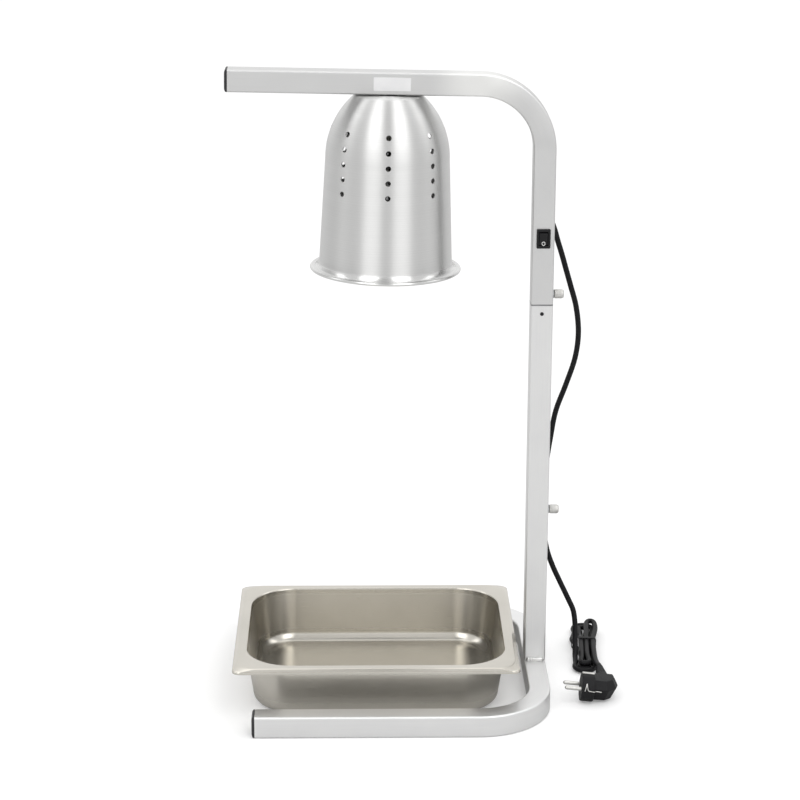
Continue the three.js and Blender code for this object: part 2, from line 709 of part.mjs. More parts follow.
function armTube() {
  const straight = (ARM_REACH - BEND_END) / Math.cos(RISE) - CAP_FLANGE - SEAT;
  const legs = [
    { straight: BEND_HEIGHT - UPPER_FOOT },
    { turn: Math.PI / 2 - RISE },
    { straight },
  ];
  const start = vector(0, 0, UPPER_FOOT);
  const stations = pathStations(start, vector(1, 0, 0), vector(0, 0, 1), Math.PI / 2, legs);
  const tube = squareTube(stations, TUBE_SIDE, TUBE_WALL, TUBE_CORNER, TUBE_BORE_CORNER);
  const inner = HALF_TUBE - TUBE_WALL - OVERRUN;
  const outer = HALF_TUBE + OVERRUN;
  const window = slab(
    SWITCH_BODY_WIDTH + 2 * SEAT, SWITCH_BODY_HEIGHT + 2 * SEAT, SEAT, -outer, -inner, SWITCH_HEIGHT);
  const outlet = bar(vector(0, inner, OUTLET_HEIGHT), vector(0, outer, OUTLET_HEIGHT), OUTLET_HOLE, 16);
  const earth = bar(
    vector(0, inner, EARTH_HEIGHT), vector(0, outer, EARTH_HEIGHT), EARTH_SHANK + 2 * SEAT, 12);
  const nipple = bar(
    vector(0, 0, -OVERRUN), vector(0, 0, TUBE_WALL + OVERRUN), NIPPLE_DIAMETER + 2 * SEAT, 16);
  return cut(tube, nutHole(UPPER_SCREW_HEIGHT), window, outlet, earth, nipple.applyMatrix4(LAMP_FRAME));
}

function switchHousing() {
  const face = -HALF_TUBE;
  const front = face - SEAT - SWITCH_BEZEL_THICKNESS;
  const bezel = slab(
    SWITCH_BEZEL_WIDTH, SWITCH_BEZEL_HEIGHT, SWITCH_BEZEL_CORNER, front, face - SEAT, SWITCH_HEIGHT);
  const back = face + SWITCH_BODY_DEPTH;
  const body = block(
    SWITCH_BODY_WIDTH, back - front - SEAT, SWITCH_BODY_HEIGHT,
    0, (back + front + SEAT) / 2, SWITCH_HEIGHT);
  const pocketHeight = 2 * (ROCKER_RADIUS + SEAT);
  const pocket = block(
    ROCKER_WIDTH + 2 * SEAT, SWITCH_POCKET_DEPTH + OVERRUN, pocketHeight,
    0, front + (SWITCH_POCKET_DEPTH - OVERRUN) / 2, SWITCH_HEIGHT);
  return cut(join(bezel, body), pocket);
}

// The rocker about its pivot, with its lower end pressed in
function rocker() {
  const end = (side) => {
    const corner = Math.asin(ROCKER_RISE / ROCKER_RADIUS) / DEGREE;
    const foot = -Math.asin(ROCKER_DROP / ROCKER_RADIUS) / DEGREE;
    const points = arc(0, 0, ROCKER_RADIUS, foot, corner, 4);
    return side > 0 ? points : points.map(([x, y]) => [-x, y]).reverse();
  };
  const outline = [...end(1), [0, ROCKER_RISE - ROCKER_DISH], ...end(-1)];
  const shape = new THREE.Shape(outline.map(([x, y]) => new THREE.Vector2(x, y)));
  const solid = new THREE.ExtrudeGeometry(shape, { depth: ROCKER_WIDTH, bevelEnabled: false });
  // The outline's x runs up the tube and its y out of the face
  const axes = new THREE.Matrix4().makeBasis(vector(0, 0, 1), vector(0, -1, 0), vector(1, 0, 0));
  return solid
    .applyMatrix4(axes)
    .translate(-ROCKER_WIDTH / 2, 0, 0)
    .rotateX(ROCKER_TILT * DEGREE)
    .translate(0, ROCKER_PIVOT_DEPTH - HALF_TUBE, SWITCH_HEIGHT);
}

function switchTerminal(side) {
  const start = SWITCH_BODY_DEPTH - HALF_TUBE + SEAT;
  return block(
    TERMINAL_WIDTH, TERMINAL_LENGTH, TERMINAL_THICKNESS,
    0, start + TERMINAL_LENGTH / 2, SWITCH_HEIGHT + (side * TERMINAL_SPACING) / 2);
}

function cordOutlet() {
  const face = HALF_TUBE + SEAT;
  const plug = OUTLET_HOLE / 2 - SEAT;
  const sleeveStart = face + OUTLET_FLANGE_THICKNESS;
  const profile = [
    [0, HALF_TUBE - TUBE_WALL - OUTLET_INNER],
    [plug, HALF_TUBE - TUBE_WALL - OUTLET_INNER],
    [plug, face],
    [OUTLET_FLANGE / 2, face],
    [OUTLET_FLANGE / 2, sleeveStart],
    [OUTLET_HOLE / 2, sleeveStart],
    [CORD_RADIUS + TUBE_WALL / 2, sleeveStart + OUTLET_SLEEVE],
    [0, sleeveStart + OUTLET_SLEEVE],
  ];
  return turned(profile, 20).rotateX(-Math.PI / 2).translate(0, 0, OUTLET_HEIGHT);
}

// Y of the end of the cord outlet
const OUTLET_END = HALF_TUBE + SEAT + OUTLET_FLANGE_THICKNESS + OUTLET_SLEEVE;

function earthScrew() {
  const face = HALF_TUBE + SEAT;
  const stack = SEAT + EARTH_LUG_THICKNESS + SEAT + EARTH_NUT_HEIGHT;
  const tip = HALF_TUBE - TUBE_WALL - stack - EARTH_SHANK / 4;
  const dome = arc(0, 0, 1, 0, 90, 3).map(([x, y]) => [
    (x * EARTH_HEAD) / 2,
    face + y * EARTH_HEAD_HEIGHT,
  ]);
  const profile = [[0, tip], [EARTH_SHANK / 2, tip], [EARTH_SHANK / 2, face], ...dome];
  return turned(profile, 12).rotateX(-Math.PI / 2).translate(0, 0, EARTH_HEIGHT);
}

function earthLug() {
  const far = HALF_TUBE - TUBE_WALL - SEAT;
  const near = far - EARTH_LUG_THICKNESS;
  const eye = bar(vector(0, near, EARTH_HEIGHT), vector(0, far, EARTH_HEIGHT), EARTH_LUG_DIAMETER, 16);
  const tail = block(
    EARTH_LUG_DIAMETER / 2, EARTH_LUG_THICKNESS, EARTH_LUG_TAIL,
    0, (near + far) / 2, EARTH_HEIGHT - EARTH_LUG_TAIL / 2);
  const hole = bar(
    vector(0, near - OVERRUN, EARTH_HEIGHT), vector(0, far + OVERRUN, EARTH_HEIGHT),
    EARTH_SHANK + 2 * SEAT, 12);
  return cut(join(eye, tail), hole);
}

function earthNut() {
  const far = HALF_TUBE - TUBE_WALL - 2 * SEAT - EARTH_LUG_THICKNESS;
  return hexNut(EARTH_NUT_FLATS, EARTH_SHANK + 2 * SEAT, 0, EARTH_NUT_HEIGHT)
    .rotateX(Math.PI / 2)
    .translate(0, far, EARTH_HEIGHT);
}

// Outside of the shade from the nipple hole to the lip, as radius and depth, moved in by an amount
function shadeOutline(inset) {
  const hole = NIPPLE_DIAMETER / 2 + SEAT;
  const centre = SHADE_SHOULDER_RADIUS - SHADE_DOME_RADIUS;
  const radius = SHADE_DOME_RADIUS - inset;
  const topAngle = Math.asin((SHADE_SHOULDER_DEPTH - inset) / radius) / DEGREE;
  const dome = arc(centre, SHADE_SHOULDER_DEPTH, radius, -topAngle, 0, SHADE_DOME_STEPS);
  const flare = SHADE_LIP_RADIUS - SHADE_BEAD / 2 - SHADE_MOUTH_RADIUS;
  const beadDepth = SHADE_HEIGHT - SHADE_BEAD / 2;
  const lip = arc(
    SHADE_MOUTH_RADIUS + flare, beadDepth - flare, flare + inset, 180, 105, 4);
  return [[hole, inset], ...dome, ...lip];
}

function shade() {
  const bead = arc(
    SHADE_LIP_RADIUS - SHADE_BEAD / 2, SHADE_HEIGHT - SHADE_BEAD / 2, SHADE_BEAD / 2, -90, 160, 6);
  const profile = [...shadeOutline(0), ...bead, ...shadeOutline(SHADE_WALL).reverse()];
  const body = turned(
    profile.map(([radius, depth]) => [radius, -SHADE_TOP - depth]), SHADE_SEGMENTS);
  const vents = [];
  for (let column = 0; column < VENT_COLUMNS; column++) {
    const angle = ((column + 1 / 2) / VENT_COLUMNS) * 2 * Math.PI + Math.PI / VENT_COLUMNS;
    for (let row = 0; row < VENT_ROWS; row++) {
      const height = -SHADE_TOP - VENT_TOP_DEPTH - row * VENT_PITCH;
      const inner = SHADE_SHOULDER_RADIUS / 2;
      const outer = SHADE_MOUTH_RADIUS + OVERRUN;
      vents.push(
        bar(
          vector(inner * Math.cos(angle), inner * Math.sin(angle), height),
          vector(outer * Math.cos(angle), outer * Math.sin(angle), height),
          VENT_DIAMETER,
          8,
        ),
      );
    }
  }
  return cut(body, ...vents);
}

function nipple() {
  return ring(NIPPLE_DIAMETER, NIPPLE_BORE, -NIPPLE_DROP, NIPPLE_ENTRY, 16);
}

function holderBody() {
  const bore = NIPPLE_DIAMETER / 2 + SEAT;
  const neck = HOLDER_NECK_DIAMETER / 2;
  const outer = HOLDER_DIAMETER / 2;
  const inner = outer - HOLDER_RIM;
  const profile = [
    [bore, 0],
    [neck, 0],
    [neck, HOLDER_NECK_LENGTH],
    [outer, HOLDER_NECK_LENGTH + HOLDER_SHOULDER],
    [outer, HOLDER_LENGTH],
    [inner, HOLDER_LENGTH],
    [inner, HOLDER_FLOOR],
    [bore, HOLDER_FLOOR],
  ];
  return turned(profile.map(([radius, depth]) => [radius, -HOLDER_TOP - depth]), 28);
}

function holderShell() {
  const outer = HOLDER_DIAMETER / 2 - HOLDER_RIM - SEAT;
  const top = HOLDER_FLOOR + SEAT;
  const profile = [
    [CONTACT_HOLE / 2, top],
    [outer, top],
    [outer, top + SHELL_LENGTH],
    [outer - SHELL_WALL, top + SHELL_LENGTH],
    [outer - SHELL_WALL, top + SHELL_WALL],
    [CONTACT_HOLE / 2, top + SHELL_WALL],
  ];
  return turned(profile.map(([radius, depth]) => [radius, -HOLDER_TOP - depth]), 24);
}

function holderContact() {
  const top = -HOLDER_TOP - HOLDER_FLOOR - SEAT;
  return bar(vector(0, 0, top - CONTACT_HEIGHT), vector(0, 0, top), CONTACT_DIAMETER, 16);
}

function bulbTip() {
  return bar(vector(0, 0, -BULB_TOP - BULB_TIP_HEIGHT), vector(0, 0, -BULB_TOP), BULB_TIP_DIAMETER, 16);
}

// Depth of the top of the bulb's cap
const BULB_CAP_TOP = BULB_TOP + BULB_TIP_HEIGHT + BULB_INSULATOR_HEIGHT + 2 * SEAT;

function bulbInsulator() {
  const top = BULB_TOP + BULB_TIP_HEIGHT + SEAT;
  const profile = [
    [0, -top],
    [BULB_TIP_DIAMETER / 2, -top],
    [BULB_CAP_DIAMETER / 2 - 2 * BULB_CAP_WALL, -top - BULB_INSULATOR_HEIGHT],
    [0, -top - BULB_INSULATOR_HEIGHT],
  ];
  return turned(profile, 20);
}

function bulbCap() {
  const outer = BULB_CAP_DIAMETER / 2;
  const hole = BULB_TIP_DIAMETER / 2;
  const profile = [
    [hole, 0],
    [outer - BULB_CAP_WALL, 0],
    [outer, BULB_CAP_WALL],
    [outer, BULB_CAP_LENGTH],
    [outer - BULB_CAP_WALL, BULB_CAP_LENGTH],
    [outer - BULB_CAP_WALL, 2 * BULB_CAP_WALL],
    [hole, BULB_CAP_WALL],
  ];
  return turned(profile.map(([radius, depth]) => [radius, -BULB_CAP_TOP - depth]), 24);
}

// The glass as a thin shell whose neck is open inside the cap
function bulbGlass() {
  const neckTop = BULB_CAP_TOP + BULB_CAP_LENGTH - BULB_NECK_INSERT;
  const neckEnd = BULB_CAP_TOP + BULB_CAP_LENGTH + SEAT;
  const rest = BULB_TOP + BULB_LENGTH - neckEnd;
  const neck = BULB_NECK_DIAMETER / 2;
  const keys = [
    [neck, neckEnd],
    ...BULB_OUTLINE_SHARES.map(([across, down]) => [(across * BULB_DIAMETER) / 2, neckEnd + down * rest]),
    [0, neckEnd + rest],
  ];
  const curve = new THREE.SplineCurve(keys.map(([radius, depth]) => new THREE.Vector2(radius, depth)));
  const steps = 2 * keys.length;
  const outside = [[neck, neckTop]];
  const inside = [[neck - BULB_WALL, neckTop]];
  for (let i = 0; i <= steps; i++) {
    const point = curve.getPoint(i / steps);
    const along = curve.getTangent(i / steps);
    outside.push([Math.max(0, point.x), point.y]);
    inside.push([Math.max(0, point.x - BULB_WALL * along.y), point.y + BULB_WALL * along.x]);
  }
  const last = neckEnd + rest;
  outside[outside.length - 1] = [0, last];
  inside[inside.length - 1] = [0, last - BULB_WALL];
  const loop = [...inside.reverse(), ...outside].map(([radius, depth]) => [radius, -depth]);
  return turnedShell(loop);
}

// A turned shell whose profile leaves the axis, goes round a rim and comes back to the axis
function turnedShell(profile) {
  const points = profile.map(([radius, height]) => new THREE.Vector2(radius, height));
  return new THREE.LatheGeometry(points, BULB_SEGMENTS).rotateX(Math.PI / 2);
}

// Glass stem with the filament on its two supports
function filamentMount() {
  const top = -(BULB_CAP_TOP + BULB_CAP_LENGTH - BULB_NECK_INSERT);
  const foot = top - STEM_LENGTH;
  const low = foot - FILAMENT_DROP;
  const flare = BULB_NECK_DIAMETER / 2 - BULB_WALL - SEAT;
  const stem = turned(
    [
      [0, top],
      [flare, top],
      [flare, top - STEM_FLARE],
      [STEM_DIAMETER / 2, top - 2 * STEM_FLARE],
      [STEM_DIAMETER / 3, foot],
      [0, foot],
    ],
    16,
  );
  const root = STEM_DIAMETER / 6;
  const supports = [-1, 1].map((side) =>
    bar(vector(side * root, 0, foot + STEM_DIAMETER), vector((side * FILAMENT_SPAN) / 2, 0, low), FILAMENT_WIRE, 6),
  );
  const loop = Array.from({ length: 7 }, (_, i) => {
    const angle = (i / 6) * Math.PI;
    return vector(
      (-Math.cos(angle) * FILAMENT_SPAN) / 2,
      (Math.sin(angle) * FILAMENT_SPAN) / 4,
      low,
    );
  });
  return join(stem, ...supports, cordAlong(loop, 2 * FILAMENT_WIRE, 6, FILAMENT_SPAN / 8));
}

// A ring round the pan at a distance in from its rim, at a height
function panRing(inset, height) {
  const share = Math.min(inset / PAN_RIM_WIDTH, 1);
  const rimCorner = PAN_RIM_CORNER + (PAN_MOUTH_CORNER - PAN_RIM_CORNER) * share;
  const corner = inset > PAN_RIM_WIDTH ? PAN_MOUTH_CORNER + PAN_RIM_WIDTH - inset : rimCorner;
  return roundedOutline(PAN_LENGTH - 2 * inset, PAN_DEPTH - 2 * inset, corner, PAN_CORNER_STEPS).map((p) =>
    vector(p.x - PAN_REACH, p.y, height),
  );
}

// One side of the pan's sheet from the floor to the turned edge, lowered and moved out by an amount
function panSide(offset) {
  const wall = PAN_RIM_WIDTH + PAN_MOUTH_EDGE + PAN_TAPER;
  const floorRadius = PAN_FLOOR_RADIUS + offset;
  const mouthEdge = PAN_MOUTH_EDGE - offset;
  const rimEdge = Math.max(PAN_RIM_EDGE - offset, SEAT);
  const floor = arc(wall + PAN_FLOOR_RADIUS, PAN_SHEET + PAN_FLOOR_RADIUS, floorRadius, 270, 180, 3);
  const mouth = arc(PAN_RIM_WIDTH, PAN_HEIGHT - PAN_MOUTH_EDGE, mouthEdge, 0, 90, 2);
  const edge = arc(offset + rimEdge, PAN_HEIGHT - offset - rimEdge, rimEdge, 90, 180, 2);
  return [...floor, ...mouth, ...edge, [offset, PAN_HEIGHT - PAN_RIM_DROP]];
}

function pan() {
  const inside = panSide(0).map(([inset, height]) => panRing(inset, height));
  const outside = panSide(PAN_SHEET).map(([inset, height]) => panRing(inset, height));
  return skin([...inside, ...outside.reverse()], false);
}

// A lead from the outlet or the switch along the arm and down through the nipple
function leadToHolder(start, across, foot, footAcross) {
  const bore = LEAD_SPACING / 2;
  const route = [...start];
  route.push(vector(0, across, BEND_HEIGHT));
  for (const share of [1 / 4, 1 / 2, 3 / 4, 1]) {
    const angle = share * (Math.PI / 2 - RISE);
    route.push(
      vector(BEND_CENTRE * (Math.cos(angle) - 1), across, BEND_HEIGHT + BEND_CENTRE * Math.sin(angle)));
  }
  const lampPoint = (x, y, z) => vector(x, y, z).applyMatrix4(LAMP_FRAME);
  route.push(lampPoint(TUBE_SIDE, across, HALF_TUBE));
  route.push(lampPoint(TUBE_BORE / 4, (across + Math.sign(across) * bore) / 2, HALF_TUBE - LEAD_DIAMETER / 2));
  route.push(lampPoint(0, Math.sign(across) * bore, NIPPLE_ENTRY));
  route.push(lampPoint(0, Math.sign(across) * bore, -NIPPLE_DROP));
  route.push(lampPoint(0, footAcross, (foot - NIPPLE_DROP) / 2));
  route.push(lampPoint(0, footAcross, foot));
  return cordAlong(route, LEAD_DIAMETER, 6, 2 * LEAD_STEP);
}

// Leads: the live one goes through the switch, the neutral one straight on, the earth one to its lug
function leads() {
  const inlet = HALF_TUBE - TUBE_WALL - OUTLET_INNER - SEAT;
  const terminal = SWITCH_BODY_DEPTH - HALF_TUBE + TERMINAL_LENGTH / 2;
  const terminalTop = SWITCH_HEIGHT + (TERMINAL_SPACING + TERMINAL_THICKNESS) / 2 + SEAT;
  const terminalFoot = SWITCH_HEIGHT - (TERMINAL_SPACING + TERMINAL_THICKNESS) / 2 - SEAT;
  const side = LEAD_SPACING;
  const holderFloor = -HOLDER_TOP - HOLDER_FLOOR;
  const low = OUTLET_HEIGHT - OUTLET_HOLE;
  const high = OUTLET_HEIGHT + OUTLET_HOLE;
  const middle = (terminalTop + low) / 2;
  const liveIn = [
    vector(0, inlet, OUTLET_HEIGHT - side),
    vector(0, inlet - side, OUTLET_HEIGHT - side),
    vector(0, terminal, low),
    vector(0, terminal, middle),
    vector(0, terminal, terminalTop),
  ];
  const wallSide = TUBE_BORE / 2 - LEAD_DIAMETER;
  const liveOut = [
    vector(TERMINAL_WIDTH / 4, terminal, terminalFoot),
    vector(TERMINAL_WIDTH / 4, terminal, terminalFoot - LEAD_DIAMETER),
    vector(TERMINAL_WIDTH, terminal, terminalFoot - 2 * LEAD_DIAMETER),
    vector(wallSide, terminal, terminalFoot),
    vector(wallSide, terminal, SWITCH_HEIGHT + TERMINAL_SPACING),
    vector(wallSide, 0, OUTLET_HEIGHT),
    vector(wallSide / 2, -side, high + side),
    vector(0, -side, EARTH_HEIGHT + side),
  ];
  const neutral = [
    vector(side, inlet, OUTLET_HEIGHT + side),
    vector(side, inlet - side, OUTLET_HEIGHT + side),
    vector(side, side, high + side),
    vector(side, side, EARTH_HEIGHT + side),
  ];
  const lugFoot = EARTH_HEIGHT - EARTH_LUG_TAIL - SEAT;
  const lugY = HALF_TUBE - TUBE_WALL - SEAT - LEAD_DIAMETER / 2;
  const earth = [
    vector(-side, inlet, OUTLET_HEIGHT + side),
    vector(-side, inlet - side, OUTLET_HEIGHT + side),
    vector(-side, inlet - side, high),
    vector(-side / 2, lugY - side, lugFoot - 2 * side),
    vector(0, lugY, lugFoot - side),
    vector(0, lugY, lugFoot),
  ];
  return [
    piece("lead_live_in", cordAlong(liveIn, LEAD_DIAMETER, 6, LEAD_STEP), brownLead),
    piece("lead_live_out", leadToHolder(liveOut, -side, holderFloor, 0), brownLead),
    piece("lead_neutral", leadToHolder(neutral, side, holderFloor, NIPPLE_DIAMETER / 2 - LEAD_DIAMETER / 2),
      blueLead),
    piece("lead_earth", cordAlong(earth, LEAD_DIAMETER, 6, LEAD_STEP), earthLead),
  ];
}

// The hank: two loops on the floor and one on top of them, drawn in at the waist. Each step from loop to
// loop has a stretch of the left run of its own, so no two runs ever meet.
const HANK_LEFT_SHARES = [1, 0.8, 0.6, 0.4, 0.2, 0.05, -0.2, -0.45, -0.83, -1];
const HANK_RIGHT_SHARES = [-1, -0.85, -0.7, 0.15, 0.7, 0.85, 1];
const HANK_WAIST_SHARE = 0.7; // straight part of a run
const HANK_LANDING_SHARE = -0.83; // where the hanging cord comes in
const HANK_LEAVING_SHARE = 0.15; // where the cord goes on to the plug
const HANK_TIE_SHARE = 0.1;
const HANK_BULGE_SHARES = [0.2, 0.45, 0.75]; // start, middle and end of the bulge

// Half width of the hank for the inner (0) or outer (1) loop, at a share of the half run
function hankHalfWidth(outer, share) {
  const waist = HANK_PITCH / 2 + outer * HANK_PITCH;
  const end = HANK_INNER_TURN + outer * HANK_PITCH;
  return waist + (end - waist) * smooth((Math.abs(share) - HANK_WAIST_SHARE) / (1 - HANK_WAIST_SHARE));
}

function hankBulge(share) {
  const [start, middle, end] = HANK_BULGE_SHARES;
  return HANK_BULGE * smooth(share < middle ? (share - start) / (middle - start) : (end - share) / (end - middle));
}

// A point beside the middle line of the hank: how far to the right, how far along and how high
function hankPoint(across, along, up) {
  const [middleX, middleY] = HANK_MIDDLE;
  return vector(across, along, HANK_LOW + up * HANK_PITCH)
    .applyAxisAngle(vector(0, 0, 1), -HANK_TURN * DEGREE)
    .add(vector(middleX, middleY, 0));
}

function hankPoints() {
  // For each loop: whether it is the outer one, its layer, and the stretch of the left run that leads to it
  const loops = [
    { outer: 1, layer: 0, from: 1, to: HANK_LANDING_SHARE },
    { outer: 0, layer: 0, from: 0.05, to: -0.45 },
    { outer: 0, layer: 1, from: 0.6, to: 0.2 },
  ];
  const points = [];
  const turn = (outer, layer, end) => {
    const radius = HANK_INNER_TURN + outer * HANK_PITCH;
    for (let i = 1; i < HANK_TURN_STEPS; i++) {
      const angle = (i / HANK_TURN_STEPS) * Math.PI;
      const along = end * (HANK_HALF_RUN + radius * Math.sin(angle));
      points.push(hankPoint(end * radius * Math.cos(angle), along, layer));
    }
  };
  loops.forEach(({ outer, layer, from, to }, index) => {
    const before = loops[Math.max(index - 1, 0)];
    for (const share of HANK_LEFT_SHARES.filter((at) => index || at <= HANK_LANDING_SHARE)) {
      const moved = smooth((from - share) / (from - to));
      const place = before.outer + (outer - before.outer) * moved;
      const half = hankHalfWidth(place, share) + before.outer * hankBulge(share);
      const up = before.layer + (layer - before.layer) * moved;
      points.push(hankPoint(-half, share * HANK_HALF_RUN, up));
    }
    turn(outer, layer, -1);
    const last = index === loops.length - 1;
    for (const share of HANK_RIGHT_SHARES.filter((at) => !last || at <= HANK_LEAVING_SHARE)) {
      points.push(hankPoint(hankHalfWidth(outer, share), share * HANK_HALF_RUN, layer));
    }
    if (!last) turn(outer, layer, 1);
  });
  return points;
}

// The least gap between runs of the hank, from each point to every stretch that isn't next to it
function leastGap(points) {
  const near = Math.ceil(HANK_TURN_STEPS / 2) + 1;
  const closest = vector();
  let least = Infinity;
  points.forEach((point, i) => {
    for (let j = 0; j + 1 < points.length; j++) {
      if (Math.abs(i - j) <= near) continue;
      new THREE.Line3(points[j], points[j + 1]).closestPointToPoint(point, true, closest);
      least = Math.min(least, closest.distanceTo(point));
    }
  });
  return least - CORD_DIAMETER;
}

function hank(points) {
  const rings = points.map((point, i) => {
    const before = points[Math.max(i - 1, 0)];
    const after = points[Math.min(i + 1, points.length - 1)];
    const along = after.clone().sub(before).normalize();
    const across = along.clone().cross(vector(0, 0, 1)).normalize();
    const up = across.clone().cross(along);
    return Array.from({ length: HANK_SIDES }, (_, k) => {
      const angle = (k / HANK_SIDES) * 2 * Math.PI;
      return point
        .clone()
        .addScaledVector(across, CORD_RADIUS * Math.cos(angle))
        .addScaledVector(up, CORD_RADIUS * Math.sin(angle));
    });
  });
  return skin(rings, false);
}

// The flat tie round the waist of the hank
function hankTie() {
  const halfWidth = hankHalfWidth(1, HANK_TIE_SHARE) + CORD_RADIUS + 3 * SEAT;
  const middle = 1 / 2; // of the way between the layers
  const halfHeight = HANK_PITCH / 2 + CORD_RADIUS + SEAT;
  const ringAt = (grow, side) =>
    roundedOutline(2 * (halfWidth + grow), 2 * (halfHeight + grow), TIE_CORNER - TIE_THICKNESS + grow, 3).map(
      (p) => {
        const along = HANK_TIE_SHARE * HANK_HALF_RUN + (side * TIE_WIDTH) / 2;
        return hankPoint(p.x, along, middle + p.y / HANK_PITCH);
      },
    );
  return skin([ringAt(0, -1), ringAt(TIE_THICKNESS, -1), ringAt(TIE_THICKNESS, 1), ringAt(0, 1)], true);
}

// The plug has a frame of its own: origin at the middle of its face, X towards its back, Y towards its
// neck. It lies on the edge of its disc and leans back on its hood.
const PLUG_LEAN = PLUG_TILT * DEGREE;
const PLUG_HEIGHT =
  (PLUG_DISC - PLUG_EDGE) * Math.sin(PLUG_LEAN) + (PLUG_DIAMETER / 2) * Math.cos(PLUG_LEAN);
const PLUG_FRAME = new THREE.Matrix4().makeRotationY(PLUG_LEAN).setPosition(...PLUG_FACE, PLUG_HEIGHT);

// Directions in the plug's cross-section: the pins lie along one, the earth clips along the other
function plugRadial(degrees) {
  return vector(0, -Math.cos(degrees * DEGREE), Math.sin(degrees * DEGREE));
}

// A clip lies on the side of the plug, in a groove from the face backwards
function plugClip(side, grow) {
  const radial = plugRadial(PLUG_PIN_TURN - 90).multiplyScalar(side);
  const low = PLUG_DIAMETER / 2 - PLUG_CLIP_RECESS - (grow ? SEAT : 0);
  const thickness = PLUG_CLIP_THICKNESS + (grow ? PLUG_CLIP_RECESS + OVERRUN : 0);
  const start = grow ? -OVERRUN : SEAT;
  const length = PLUG_CLIP_LENGTH + (grow ? OVERRUN + 2 * SEAT : 0);
  const width = PLUG_CLIP_WIDTH + (grow ? 2 * SEAT : 0);
  const centre = vector(start + length / 2, 0, 0).addScaledVector(radial, low + thickness / 2);
  const across = radial.clone().cross(vector(1, 0, 0));
  return new THREE.BoxGeometry(length, width, thickness)
    .applyMatrix4(new THREE.Matrix4().makeBasis(vector(1, 0, 0), across, radial))
    .translate(...centre.toArray());
}

function plugBody() {
  const radius = PLUG_DIAMETER / 2;
  const disc = turned(
    [
      [0, 0],
      [radius - PLUG_EDGE, 0],
      [radius, PLUG_EDGE],
      [radius, PLUG_DISC - PLUG_EDGE],
      [radius - PLUG_EDGE, PLUG_DISC],
      [0, PLUG_DISC],
    ],
    24,
  ).rotateY(Math.PI / 2);
  const side = radius - 2 * PLUG_EDGE;
  const neckHalf = PLUG_NECK_ROOT / 2;
  const start = PLUG_DISC / 2;
  const back = PLUG_DEPTH - PLUG_HOOD_BEVEL;
  const outline = [
    [start, -side],
    [PLUG_NECK_SETBACK, -side],
    [back - side / 6, -side / 2],
    [back, side],
    [PLUG_NECK_SETBACK + neckHalf, PLUG_SHOULDER],
    [PLUG_NECK_SETBACK - neckHalf, PLUG_SHOULDER],
    [start, side],
  ];
  // The bevel grows the outline again by as much as it is drawn in here
  const hood = new THREE.ExtrudeGeometry(
    new THREE.Shape(outline.map(([x, y]) => new THREE.Vector2(x, y - Math.sign(y) * PLUG_HOOD_BEVEL))),
    {
      depth: PLUG_HOOD_HEIGHT - 2 * PLUG_HOOD_BEVEL,
      bevelEnabled: true,
      bevelThickness: PLUG_HOOD_BEVEL,
      bevelSize: PLUG_HOOD_BEVEL,
      bevelSegments: 3,
    },
  ).translate(0, 0, PLUG_HOOD_BEVEL - PLUG_HOOD_HEIGHT / 2);
  const neck = turned(
    [
      [0, side / 2],
      [neckHalf, side / 2],
      [neckHalf, PLUG_SHOULDER + PLUG_HOOD_BEVEL],
      [PLUG_NECK_DIAMETER / 2, PLUG_NECK_END],
      [0, PLUG_NECK_END],
    ],
    16,
  ).rotateX(-Math.PI / 2).translate(PLUG_NECK_SETBACK, 0, 0);
  return cut(join(disc, hood, neck), plugClip(1, true), plugClip(-1, true));
}

function plugPin(side) {
  const centre = plugRadial(PLUG_PIN_TURN).multiplyScalar((side * PLUG_PIN_SPACING) / 2);
  const radius = PLUG_PIN_DIAMETER / 2;
  const nose = arc(0, 0, radius, 0, 90, 3).map(([x, y]) => [x, PLUG_PIN_LENGTH - radius + y]);
  return turned([[0, 0], [radius, 0], ...nose], 12)
    .rotateY(-Math.PI / 2)
    .translate(-SEAT, centre.y, centre.z);
}

// A free end of cord runs straight for one diameter, square to what it meets
function straightEnd(point, away) {
  const out = away.clone().normalize();
  return [point.clone().addScaledVector(out, SEAT), point.clone().addScaledVector(out, SEAT + CORD_DIAMETER)];
}

function cordPieces() {
  const points = hankPoints();
  console.log("least gap in the hank, mm: " + leastGap(points).toFixed(2));
  const [first, second] = points;
  const [beforeLast, last] = points.slice(-2);
  const back = vector(0, 1, 0);
  const drop = [
    ...straightEnd(vector(0, OUTLET_END, OUTLET_HEIGHT), back),
    ...DROP_ROUTE,
    ...straightEnd(first, first.clone().sub(second)).reverse(),
  ];
  const neck = vector(PLUG_NECK_SETBACK, PLUG_NECK_END, 0).applyMatrix4(PLUG_FRAME);
  const tail = [
    ...straightEnd(last, last.clone().sub(beforeLast)),
    ...TAIL_ROUTE,
    ...straightEnd(neck, back).reverse(),
  ];
  return [
    piece("cord_drop", cordAlong(drop, CORD_DIAMETER, CORD_SIDES, CORD_STEP), cordBlack),
    piece("cord_hank", hank(points), cordBlack),
    piece("cord_tail", cordAlong(tail, CORD_DIAMETER, CORD_SIDES, CORD_STEP / 2), cordBlack),
    piece("hank_tie", hankTie(), blackPlastic),
  ];
}

// The plug in its own frame
function plugPieces() {
  return [
    piece("plug_body", plugBody(), blackPlastic),
    piece("plug_pin_front", plugPin(1), nickel),
    piece("plug_pin_rear", plugPin(-1), nickel),
    piece("plug_clip_lower", plugClip(1, false), nickel),
    piece("plug_clip_upper", plugClip(-1, false), nickel),
  ];
}

